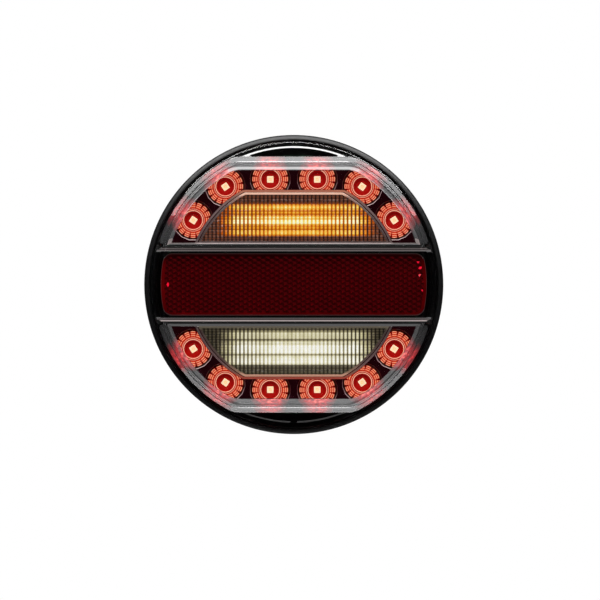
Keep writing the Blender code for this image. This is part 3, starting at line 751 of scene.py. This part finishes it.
def field_block(name, points, faces, floor):
    """Closes an open height field into a solid, down to a flat floor."""
    mesh = bpy.data.meshes.new(name)
    mesh.from_pydata([[value * MM for value in point] for point in points], [], faces)
    bm = bmesh.new()
    bm.from_mesh(mesh)
    bmesh.ops.delete(bm, geom=[v for v in bm.verts if not v.link_faces], context="VERTS")
    edges = [edge for edge in bm.edges if edge.is_boundary]
    made = bmesh.ops.extrude_edge_only(bm, edges=edges)["geom"]
    rim = [item for item in made if isinstance(item, bmesh.types.BMEdge) and item.is_boundary]
    for vert in {vert for edge in rim for vert in edge.verts}:
        vert.co.z = floor * MM
    bmesh.ops.holes_fill(bm, edges=rim)
    bmesh.ops.recalc_face_normals(bm, faces=bm.faces)
    bm.to_mesh(mesh)
    bm.free()
    return add_piece(name, mesh)


# Prisms near the ends of the reflector with a painted glint, a red glow standing for the reflected light of the
# LEDs, as (x, up)
PRISM_GLINTS = (
    (-60.0, 1.2), (-58.6, -0.1), (-60.0, -3.6), (57.6, 10.6), (59.0, 8.0), (58.7, 3.8), (60.1, 1.2), (60.0, -3.4),
)


def is_glint(spot, normal):
    return int(min(math.hypot(spot.x / MM - x, spot.y / MM - up) for x, up in PRISM_GLINTS) < 0.6)


def make_reflector():
    tile = plate("reflector_plate", strip_outline(62.0, 14.6, 4.5), 24.4, 28.3)
    bevel(tile, 0.7, segments=3)
    cut(tile, plate("tile_recess", strip_outline(60.4, 13.1, 3.0), 27.6, 30.0))
    # The frame carries a faint painted red glow.
    red = reflector_red("reflector_frame", (0.09, 0.0005, 0.0012), 0.12, (0.007, 0.00004, 0.0002), 0.5)
    finish(tile, "reflector_red", red, replaces=["reflector_tile"])
    cubes = field_block("reflector_cubes", *corner_cubes(62.0, 14.0, 1.38, 0.34, 27.45), 27.3)
    keep_inside(cubes, plate("cube_outline", strip_outline(60.3, 13.0, 3.0), 27.2, 30.0))
    paint(cubes, is_glint)
    # The glints are painted highlights: a bright red glow on a few prisms.
    glint = reflector_red("reflector_glint", (0.2, 0.001, 0.003), 0.2, (0.8, 0.008, 0.03), 0.12)
    finish(cubes, "reflector_red", prism_red(), glint, smooth_angle=3.0)


# Optics and LEDs

CHIP_GAP = 1.56
# Radius, front, and the part of the optic that starts there
OPTIC_ROUND = (
    (CHIP_GAP, 11.9, "well"), (3.7, 12.2, "well"), (4.1, 16.0, "well"), (4.25, 20.2, "ring"),
    (4.34, 20.8, "ring"), (4.54, 20.95, "ring"), (4.62, 20.8, "groove"), (4.84, 20.3, "groove"),
    (5.06, 20.3, "line"), (5.14, 20.7, "line"), (5.32, 20.7, "groove"), (5.5, 20.2, "groove"),
)
FLUTE_TEETH = 3
FLUTE_START, FLUTE_END = 5.62, 8.4
FLUTE_TOOTH = ((0.0, 0.0, "petal"), (0.6, 0.35, "ridge"), (0.86, 0.45, "petal"), (0.97, 0.1, "petal"))
# Each part's glow at its inside and its outside, and where those are. The well's last number, its lean, darkens it
# towards its top: painted shade.
OPTIC_GLOW = {
    "well": ((0.42, 0.007, 0.005), (0.12, 0.002, 0.002), (1.8, 5.0), 140.0),
    "ring": ((1.0, 0.5, 0.34), (1.0, 0.46, 0.32)),
    "groove": ((0.34, 0.006, 0.004), (0.38, 0.008, 0.006)),
    "line": ((1.0, 0.42, 0.26), (1.0, 0.4, 0.24)),
    "petal": ((0.62, 0.04, 0.015), (0.62, 0.05, 0.02), (5.6, 8.4)),
    "ridge": ((1.0, 0.46, 0.24), (1.0, 0.52, 0.3), (5.6, 8.4)),
    "gap": ((0.3, 0.002, 0.002), (0.1, 0.0006, 0.001), (5.6, 8.4)),
}
OPTIC_PARTS = tuple(OPTIC_GLOW)
FLUTE_SHARES = (-1.0, -0.78, -0.66, -0.4, 0.0, 0.4, 0.66, 0.78)


def flute_profile():
    """Radial stations of a flute: saw teeth that climb outwards, each with a bright ridge."""
    width = (FLUTE_END - FLUTE_START) / FLUTE_TEETH
    stations = []
    for tooth in range(FLUTE_TEETH):
        start, base = FLUTE_START + tooth * width, 20.9 + 0.75 * tooth
        for share, rise, part in FLUTE_TOOTH:
            stations.append((start + share * width, base + rise, part))
    return stations


def flute_angle(number, share, radius):
    """Where a station round the optic lies. The flutes keep nearly one width, so their gaps widen outwards."""
    reach = max(0.0, min(1.0, (radius - FLUTE_START) / (FLUTE_END - FLUTE_START)))
    half = 0.5 if abs(share) == 1.0 else min(0.5, (0.45 - 0.12 * reach) * abs(share) / 0.78)
    return (number + math.copysign(half, share)) * 2 * math.pi / PETALS


def optic_mesh(turn):
    """The whole collimator round its own axis, before the lane's walls trim it."""
    stations = [(number, share) for number in range(PETALS) for share in FLUTE_SHARES]
    count = len(stations)
    rings = [(*ring, False) for ring in OPTIC_ROUND] + [(*ring, True) for ring in flute_profile()]
    rings += [(8.4, 20.4, "gap", False), (3.4, 11.95, "gap", False), (CHIP_GAP, 10.9, "gap", False)]
    points, faces, parts = [], [], []
    for radius, front, _, fluted in rings:
        for number, share in stations:
            angle = flute_angle(number, share, radius)
            out, height = radius, front
            if radius == CHIP_GAP:
                out = min(2.16, radius / max(abs(math.cos(angle - turn)), abs(math.sin(angle - turn))))
            if fluted:
                height += 0.5 * (1 - (share / 0.8) ** 2) if abs(share) < 0.7 else -0.25
                height -= 1.3 if abs(share) == 1.0 else 0.0
                out -= 0.3 * share * share * (radius > 8.0)
            points.append((out * math.cos(angle), out * math.sin(angle), height))
    for level, (_, _, part, _) in enumerate(rings):
        here, there = level * count, (level + 1) % len(rings) * count
        for i, (_, share) in enumerate(stations):
            j = (i + 1) % count
            faces.append((here + i, here + j, there + j, there + i))
            parts.append("gap" if part in ("petal", "ridge") and share in (-1.0, 0.78) else part)
    mesh = mesh_of("optic", points, faces)
    mesh.polygons.foreach_set("material_index", [OPTIC_PARTS.index(part) for part in parts])
    return mesh


def optic_places():
    """(number, x, up, turn, side) of the optics, each half from left to right."""
    places = []
    for side, first in ((1, 1), (-1, 7)):
        right = [(x, side * up, -side * math.atan2(x, up) * turned) for x, up, turned in STOP_PLACES]
        left = [(-x, up, -turn) for x, up, turn in reversed(right)]
        places += [(first + i, x, up, turn, side) for i, (x, up, turn) in enumerate(left + right)]
    return places


def make_optics():
    looks = [lit_red(f"optic_{part}", *glow) for part, glow in OPTIC_GLOW.items()]
    for number, x, up, turn, side in optic_places():
        optic = add_piece(f"fluted_optic_{number:02d}", optic_mesh(turn), (x, up))
        keep_inside(optic, plate("optic_lane", lane(OPTIC_LANE_OUTER, OPTIC_LANE_INNER, side), 10.0, 26.0))
        finish(optic, "optic_red", *looks, replaces=[f"stop_optic_{number:02d}"], smooth_angle=24.0)
        make_chip(number, (x, up), turn)


def rounded_square(half, radius):
    """A square outline with rounded corners."""
    points = []
    for quarter in range(4):
        angle = quarter * math.pi / 2
        middle = (half - radius) * math.sqrt(2)
        centre = (middle * math.cos(angle + math.pi / 4), middle * math.sin(angle + math.pi / 4))
        points += arc(centre, radius, angle, angle + math.pi / 2, CHIP_CORNER_STEPS)
    return points


CHIP_CORNER_STEPS = 4
# Half width, corner radius and front of the LED package, from its foot over its rim to the die
CHIP_PROFILE = (
    (1.5, 0.3, 10.4), (1.5, 0.3, 11.3), (1.42, 0.3, 11.4), (1.12, 0.3, 11.4), (1.0, 0.3, 11.2), (0.62, 0.2, 11.2),
    (0.56, 0.2, 11.32), (0.42, 0.15, 11.32), (0.38, 0.15, 11.24),
)
PACKAGE, PHOSPHOR, DIE_EDGE = 0, 1, 2


def make_chip(number, place, turn):
    """White package with a raised rim, a lit window and the die's outline in it."""
    outlines = [(rounded_square(half, radius), front) for half, radius, front in CHIP_PROFILE]
    chip = loft(f"lit_led_{number:02d}", outlines)
    for face in chip.data.polygons:
        level = (face.index - 2) // len(outlines[0][0])
        inside = level >= 3 or face.index == 1
        face.material_index = DIE_EDGE if 5 <= level <= 7 else PHOSPHOR if inside else PACKAGE
    put(chip, place, turn)
    finish(chip, "led_emitter", *CHIP_LOOKS, replaces=[f"stop_led_{number:02d}"], smooth_angle=25.0)


# Bezels and pillow lenses

def polygon(radius, place):
    angles = [2 * math.pi * (i + 0.5) / PETALS for i in range(PETALS)]
    return [(place[0] + radius * math.cos(angle), place[1] + radius * math.sin(angle)) for angle in angles]


def inset(outline, side, by):
    """A half-moon this far inside another."""
    return half_moon(grown(outline, -by), INNER_CORNER, side)


def make_bezel(half, side):
    bezel = plate(f"{half}_optic_bezel", half_moon(BEZEL_OUTLINE, BEZEL_CORNER, side), 10.6, 24.5)
    cut(
        bezel,
        plate("hollow", half_moon(BEZEL_INSIDE, BEZEL_CORNER, side), 8.0, 21.5),
        plate("lane", lane(BEZEL_INSIDE, FRAME_OUTLINE, side), PLATE_FRONT, 27.0),
        plate("pocket", inset(POCKET_OUTLINE, side, 0.0), PLATE_FRONT, 27.0),
        plate("aperture", inset(APERTURE_OUTLINE, side, 0.0), 19.0, 27.0),
    )
    for place in [(x, up) for _, x, up, _, half_side in optic_places() if half_side == side]:
        narrow, wide = polygon(9.28, place), polygon(9.58, place)
        hole = loft("hole", [(narrow, 17.0), (narrow, 22.7), (wide, PLATE_FRONT), (wide, 27.0)])
        keep_inside(hole, plate("hole_lane", lane(OPTIC_LANE_OUTER, OPTIC_LANE_INNER, side), 16.0, 28.0))
        cut(bezel, hole)
    bevel(bezel, 0.26, 60.0)
    # The front corners take the edge look, whose glow is a painted highlight.
    paint(bezel, lambda spot, normal: int(spot.z > 21.9 * MM and 0.25 < normal.z < 0.9))
    rib = plate("window_rib", inset(FRAME_OUTLINE, side, -0.12), 23.4, 24.75)
    cut(rib, plate("rib_hole", inset(FRAME_OUTLINE, side, 0.85), 22.0, 26.0))
    add(bezel, rib)
    # The rib's top faces take a painted glow of stray light, by height.
    for face in bezel.data.polygons:
        if face.center.z > 24.7 * MM:
            face.material_index = 2
    # The black bezel gets a faint painted red glow, standing for the optics' light falling on it.
    dark = gloss_black(f"{half}_bezel_black", (0.01, 0.0007, 0.0018))
    rib_glow = border_glow(f"{half}_rib", AMBER_RIB if side > 0 else WHITE_RIB)
    finish(bezel, "bezel_black", dark, BEZEL_EDGE, rib_glow, replaces=[f"{half}_bezel"], smooth_angle=20.0)


def dome(share):
    """Height of a pillow across one cell, from 0 at its edges to 1 in the middle."""
    across = 2 * share - 1
    return 1 - across * across


def make_pillow(name, side, materials, node):
    """A sheet of small pillows inside a raised border."""
    x_steps, up_steps = PILLOW_STEPS
    across = range(-PILLOW_COLUMNS * x_steps, PILLOW_COLUMNS * x_steps + 1)
    width = len(across)
    up_count = PILLOW_ROWS * up_steps + 1
    points, faces = [], []
    for j in range(up_count):
        up = PILLOW_FOOT + j * PILLOW_PITCH[1] / up_steps
        for i in across:
            height = 0.5 * dome((i / x_steps + 0.5) % 1.0) * dome(j % up_steps / up_steps)
            points.append((i * PILLOW_PITCH[0] / x_steps, side * up, 24.75 + height))
    for low in range(0, (up_count - 1) * width, width):
        faces += [(k, k + 1, k + width + 1, k + width) for k in range(low, low + width - 1)]
    lens = field_block(name, points, faces, 23.4)
    keep_inside(lens, plate("pillow_outline", inset(PILLOW_OUTLINE, side, 0.0), 23.0, 26.0))
    rim, ridge, inner = (inset(PILLOW_OUTLINE, side, by) for by in (-0.06, 0.3, 0.95))
    border = loft("pillow_border", [(rim, 23.45), (rim, 25.5), (ridge, 25.8), (inner, 25.8)])
    cut(border, loft("border_hole", [(inner, 22.0), (inner, 25.3), (ridge, 27.0)]))
    add(lens, border)
    paint(lens, on_border)
    slot = "lens_amber" if side > 0 else "lens_white"
    finish(lens, slot, *materials, replaces=[node], smooth_angle=50.0)


def on_border(spot, normal):
    x, up = spot.x / MM, abs(spot.y / MM)
    radius, top, bottom = grown(PILLOW_OUTLINE, -1.0)
    return int(math.hypot(x, up) > radius or up > top or up < bottom)


# Brightness of the rows of light by height in millimetres, and the colours that it stands for
AMBER_ROWS = (
    (22.2, 0.0), (22.8, 0.3), (23.3, 0.6), (24.2, 0.72), (25.0, 0.66), (25.5, 0.4), (26.0, 0.42),
    (26.6, 0.55), (27.4, 0.42), (28.0, 0.62), (28.5, 0.95), (29.1, 1.0), (30.0, 0.86), (30.6, 0.69), (31.4, 0.84),
    (32.0, 0.6), (32.5, 0.33), (33.5, 0.56), (34.4, 0.35), (35.0, 0.55), (35.6, 0.72), (36.5, 0.7), (37.1, 0.48),
    (37.7, 0.2), (38.3, 0.0),
)
AMBER_COLOURS = (
    (0.0, BLACK), (0.1, (0.105, 0.042, 0.028)), (0.2, (0.19, 0.04, 0.006)), (0.4, (0.58, 0.1, 0.001)),
    (0.6, (0.88, 0.36, 0.012)), (0.8, (0.94, 0.66, 0.1)), (0.9, (0.97, 0.84, 0.3)), (1.0, (1.0, 0.98, 0.66)),
)
WHITE_ROWS = (
    (21.2, 0.1), (22.0, 0.36), (23.0, 0.68), (24.0, 0.56), (24.6, 0.66), (25.1, 0.54), (25.9, 0.14),
    (26.4, 0.5), (27.0, 0.84), (27.7, 0.62), (28.4, 0.9), (29.0, 1.0), (30.0, 1.0), (31.0, 0.9), (31.5, 0.98),
    (32.0, 0.88), (32.6, 0.26), (33.5, 0.7), (34.2, 0.84), (36.6, 0.88), (37.1, 0.7), (37.6, 0.18), (38.2, 0.07),
    (45.0, 0.03),
)
WHITE_COLOURS = (
    (0.0, BLACK), (0.2, (0.09, 0.075, 0.045)), (0.4, (0.33, 0.29, 0.16)), (0.6, (0.64, 0.59, 0.34)),
    (0.8, (0.85, 0.81, 0.62)), (1.0, (1.0, 1.0, 0.95)),
)
# Painted glow of the borders and the ribs round them, standing for stray light, by height in millimetres
AMBER_BORDER = (
    (21.2, (0.05, 0.03, 0.028)), (36.0, (0.1, 0.07, 0.065)), (41.0, (0.34, 0.19, 0.15)), (41.6, (0.8, 0.46, 0.34)),
    (45.0, (0.88, 0.5, 0.34)),
)
WHITE_BORDER = (
    (19.0, (0.13, 0.11, 0.08)), (20.6, (0.08, 0.07, 0.05)), (21.2, (0.04, 0.03, 0.026)), (36.0, (0.08, 0.05, 0.045)),
    (41.0, (0.24, 0.14, 0.09)), (41.6, (0.48, 0.26, 0.18)), (45.0, (0.58, 0.24, 0.16)),
)
AMBER_RIB = (
    (19.0, (0.08, 0.055, 0.055)), (36.0, (0.17, 0.11, 0.11)), (41.0, (0.24, 0.12, 0.09)), (43.0, (0.44, 0.16, 0.1)),
    (45.0, (0.38, 0.1, 0.05)),
)
WHITE_RIB = (
    (19.0, (0.06, 0.045, 0.045)), (36.0, (0.12, 0.07, 0.07)), (41.0, (0.18, 0.08, 0.06)), (43.0, (0.32, 0.06, 0.04)),
    (45.0, (0.3, 0.04, 0.025)),
)


# Housing and back

HOUSING_PROFILE = (
    # radius, front
    (0.0, 3.5), (64.1, 3.5), (64.5, 9.5), (65.0, 9.5), (65.0, 8.4), (66.8, 8.4), (66.8, 9.5), (67.6, 9.5),
    (67.6, 12.5), (67.72, 12.85), (67.95, 13.0), (69.6, 12.28), (69.85, 12.1), (69.96, 11.85), (70.0, 11.5),
    (70.0, 8.4), (69.8, 7.9), (69.3, 7.4), (68.4, 6.9), (67.0, 6.4), (66.75, 3.5), (66.55, 0.8), (66.3, 0.25),
    (65.8, 0.0), (62.3, 0.0), (62.0, 0.3), (62.0, 1.5), (0.0, 1.5),
)
GROMMET_PROFILE = (
    (3.5, 5.4), (6.2, 5.4), (6.7, 5.15), (7.4, 3.8), (5.7, 3.8), (5.7, 1.2), (8.8, 1.2), (9.05, 1.05), (9.2, 0.7),
    (9.05, 0.35), (8.8, 0.2), (4.4, 0.2), (3.9, 0.45), (3.7, 0.9), (3.5, 1.4),
)
VENT_PROFILE = (
    (0.0, 4.6), (1.7, 4.6), (2.3, 3.9), (2.3, 1.2), (4.4, 1.2), (4.4, 0.55), (4.2, 0.3), (3.8, 0.2), (1.6, 0.2),
    (1.4, 0.45), (0.0, 0.45),
)


def make_housing():
    """The cup, with ribs and bosses on its back that stay flush with the mounting face."""
    housing = spun("lamp_housing", HOUSING_PROFILE)
    add(housing, cylinder("centre_boss", 10.0, 0.0, 3.0, steps=64))
    add(housing, box("stud_bar", (45.0, 7.0), 0.4, 3.0))
    for i in range(4):
        angle = math.radians(45 + 90 * i)
        place = (36.0 * math.cos(angle), 36.0 * math.sin(angle))
        add(housing, box("back_rib", (53.0, 1.6), 0.4, 3.0, angle, place))
    for x in (-STUD_X, STUD_X):
        place = (x, 0.0)
        add(housing, cylinder("stud_boss", 8.0, 0.0, 3.0, place, 64))
        add(housing, cylinder("stud_collar", 7.0, 3.0, 6.6, place))
        cut(housing, cylinder("stud_hole", 2.7, -2.0, 5.0, place, 40), hexagon("pocket", 8.4, 3.2, 9.0, place))
    for place in ((x, up) for x in (-50.0, 50.0) for up in (-8.0, 8.0)):
        add(housing, cylinder("screw_boss", 3.2, 3.0, 8.3, place, 32))
        cut(housing, cylinder("pilot_hole", 1.6, 2.4, 10.0, place, 24))
    cable_hole = cylinder("cable_hole", 6.0, -2.0, 5.0, (0.0, CABLE_UP))
    cut(housing, cable_hole, cylinder("vent_hole", 2.6, -2.0, 5.0, (0.0, VENT_UP), 32))
    bevel(housing, 0.22, 50.0)
    paint(housing, lambda spot, normal: int(math.hypot(spot.x, spot.y) > 69.6 * MM))
    matt_edge = black_plastic("housing_edge", 0.75, 0.0)
    finish(housing, "housing_black", black_plastic(), matt_edge, replaces=["rear_housing"])


def make_rubber_parts():
    material = plain("rubber_black")
    grommet = spun("sealing_grommet", GROMMET_PROFILE, 72, (0.0, CABLE_UP))
    finish(grommet, "rubber_black", material, replaces=["cable_grommet"])
    vent = spun("breather_plug", VENT_PROFILE, 56, (0.0, VENT_UP))
    finish(vent, "rubber_black", material, replaces=["vent_plug"])
    return material


THREAD_PITCH = 0.8
THREAD_STEPS = 40  # Round the stud
THREAD_LEVELS = 8  # In each turn


def thread(name, outer, root, start, end):
    """A closed bar with a helical groove, from start to end along local Z. Its tip is tapered."""
    points = []
    levels = int((end - start) / THREAD_PITCH * THREAD_LEVELS)
    for level in range(levels + 1):
        front = start + (end - start) * level / levels
        fade = min(1.0, (front - start) / THREAD_PITCH, (end - front) / THREAD_PITCH)
        tip = min(1.0, 0.76 + (front - start) / 0.6 * 0.24)
        for i in range(THREAD_STEPS):
            angle = 2 * math.pi * i / THREAD_STEPS
            phase = (front / THREAD_PITCH - i / THREAD_STEPS) % 1.0
            groove = 1 - min(1.0, 1.25 * abs(2 * phase - 1))
            radius = tip * (outer - (outer - root) * groove * max(0.0, fade))
            points.append((radius * math.cos(angle), radius * math.sin(angle), front))
    return add_piece(name, mesh_of(name, points, tube_faces(THREAD_STEPS, levels + 1)))


def chamfered_hex(name, across_flats, back, front):
    """A hexagon whose corners are turned off by a cone at both ends."""
    flat, corner = across_flats / 2 + 0.02, across_flats / 2 + 0.75
    turned_off = [(0.0, back), (flat, back), (corner, back + 0.42)]
    turned_off += [(radius, front - (height - back)) for radius, height in reversed(turned_off)]
    return keep_inside(hexagon(name, across_flats, back, front), spun("turned_off", turned_off, 72))


WASHER_PROFILE = ((2.65, -3.3), (4.85, -3.3), (5.0, -3.45), (5.0, -4.15), (4.85, -4.3), (2.65, -4.3))
COLLAR_PROFILE = ((0.0, -10.6), (2.9, -10.6), (3.05, -10.5), (3.6, -9.3), (3.65, -8.0), (0.0, -8.0))
BORE_PROFILE = (
    (0.0, -12.0), (3.35, -12.0), (2.66, -10.15), (2.66, -5.05), (3.35, -4.35), (3.35, -3.0), (0.0, -3.0),
)


def make_fasteners():
    """A stud on each side with its washer and nut. All of them are the same steel."""
    steel = zinc()
    for side, x in (("left", -STUD_X), ("right", STUD_X)):
        stud = thread(f"threaded_stud_{side}", 2.5, 2.08, -20.0, 2.6)
        add(stud, cylinder("plain_shank", 2.49, 2.2, 4.0, steps=40))
        add(stud, chamfered_hex("stud_head", 8.0, 3.5, 7.0))
        finish(put(stud, (x, 0.0)), "zinc_steel", steel, replaces=[f"mounting_stud_{side}"])
        washer = spun(f"flat_washer_{side}", WASHER_PROFILE, 72, (x, 0.0))
        finish(washer, "zinc_steel", steel, body=f"washer_{side}", replaces=[f"stud_washer_{side}"])
        nut = chamfered_hex(f"hex_nut_{side}", 8.0, -9.0, -4.6)
        add(nut, spun("collar", COLLAR_PROFILE, 56))
        cut(nut, spun("bore", BORE_PROFILE, 56))
        finish(put(nut, (x, 0.0)), "zinc_steel", steel, body=f"nut_{side}", replaces=[f"stud_nut_{side}"])
    return steel


def dress_nodes(steel, soft):
    """Materials for the CAD nodes that stay as they are."""
    white, mask, dark = plain("reflector_white"), board_mask(), plain("electronics_black")
    amber = chip_face("amber_emitter", (0.9, 0.42, 0.03), (1.0, 0.7, 0.2))
    cold = chip_face("white_emitter", (0.85, 0.9, 0.7), (1.0, 1.0, 0.9))
    looks = {"circuit_board": mask, "lens_seal": soft, "driver_chip": dark, "input_diode": dark,
             "reflector_backing": gloss_black("backing_black"), "filter_capacitor": steel,
             "wire_header": white, "indicator_light_box": white, "reversing_light_box": white}
    looks.update({f"board_screw_{i + 1}": steel for i in range(4)})
    looks.update({f"indicator_led_{i + 1}": amber for i in range(4)})
    looks.update({f"reversing_led_{i + 1}": cold for i in range(4)})
    for name, material in looks.items():
        node = nodes[name]
        node.data.materials.clear()
        node.data.materials.append(material)


# Stage

def area_light(name, place, aim, size, radiance):
    """A rectangular softbox of the given size whose face has the given radiance."""
    data = bpy.data.lights.new(name, "AREA")
    data.shape = "RECTANGLE"
    data.size, data.size_y = size
    data.energy = radiance * size[0] * size[1] * math.pi
    light = link_new(name, data)
    light.location = place
    direction = Vector(aim) - Vector(place)
    light.rotation_euler = direction.to_track_quat("-Z", "Y").to_euler()


def make_world():
    """White behind the lamp and above it, and dark in front, so that its clear faces stay clean. The camera itself
    sees plain white."""
    world = bpy.data.worlds.new("studio")
    world.use_nodes = True
    bpy.context.scene.world = world
    sky = Nodes(world.node_tree)
    direction = sky.split(sky.nodes.new("ShaderNodeTexCoord").outputs["Generated"])
    behind = sky.spread(direction["Y"], -0.15, 0.75, 0.006, 1.0, "SMOOTHSTEP")
    above = sky.spread(direction["Z"], 0.05, 0.75, 0.2, 0.55, "SMOOTHSTEP")
    below = sky.spread(direction["Z"], -0.7, -0.05, 0.16, 0.0, "SMOOTHSTEP")
    mix = sky.nodes.new("ShaderNodeMix")
    mix.data_type = "RGBA"
    sky.feed(mix.inputs["Factor"], sky.nodes.new("ShaderNodeLightPath").outputs["Is Camera Ray"])
    sky.feed(mix.inputs["A"], sky.times(behind, sky.plus(above, below)))
    mix.inputs["B"].default_value = (1.0, 1.0, 1.0, 1.0)
    sky.feed(sky.nodes["Background"].inputs["Color"], mix.outputs["Result"])


def make_stage():
    floor = spun("studio_floor", [(0.0, -1.0), (1100.0, -1.0), (1100.0, 0.0), (0.0, 0.0)], 96)
    floor.matrix_world = Matrix.Translation((0.0, 0.98, -0.3))
    white = Look("floor_white").vary((0.86, 0.86, 0.86), 0.02, 6.0, 0.6, 0.05).relief(0.2, 0.2, 40.0)
    floor.data.materials.append(white)
    area_light("top_softbox", (0.0, 0.08, 0.4), (0.0, 0.08, 0.0), (1.4, 0.36), 3.6)
    area_light("front_softbox", (0.0, -0.42, 0.46), (0.0, -0.01, 0.03), (0.95, 0.22), 8.0)
    area_light("low_softbox", (0.0, 0.01, -0.27), (0.0, 0.01, 0.0), (0.72, 0.18), 1.7)
    make_world()


def make_camera():
    data = bpy.data.cameras.new("camera")
    data.lens = 600.0
    data.sensor_width = 36.0
    data.shift_x = 0.0104
    data.shift_y = -0.0258
    data.clip_end = 50.0
    camera = link_new("camera", data)
    distance = 0.2807 * data.lens / data.sensor_width
    camera.location = (0.0, -13.0 * MM - distance, 0.0)
    camera.rotation_euler = (math.pi / 2, 0.0, 0.0)
    bpy.context.scene.camera = camera


CHIP_LOOKS = [
    chip_face("package_white", (0.92, 0.78, 0.5), (1.0, 0.88, 0.6)),
    chip_face("phosphor_lit", (0.88, 0.72, 0.42), (0.98, 0.84, 0.54)),
    chip_face("die_edge", (0.62, 0.36, 0.15), (0.72, 0.45, 0.2)),
]

BEZEL_EDGE = painted_edge_highlight()

bpy.context.scene.view_settings.view_transform = "Standard"
make_camera()
make_stage()
make_housing()
make_lens()
make_reflector()
make_optics()
for half, side in (("upper", 1), ("lower", -1)):
    make_bezel(half, side)
amber = pillow_glow("amber_pillows", 1, AMBER_ROWS, AMBER_COLOURS, 36.0, (0.03, 0.013, 0.01))
white = pillow_glow("white_pillows", -1, WHITE_ROWS, WHITE_COLOURS, 35.5, (0.03, 0.026, 0.022))
amber_border = border_glow("amber_border", AMBER_BORDER)
white_border = border_glow("white_border", WHITE_BORDER)
make_pillow("amber_pillow_lens", 1, (amber, amber_border), "indicator_pillow_lens")
make_pillow("white_pillow_lens", -1, (white, white_border), "reversing_pillow_lens")
dress_nodes(make_fasteners(), make_rubber_parts())
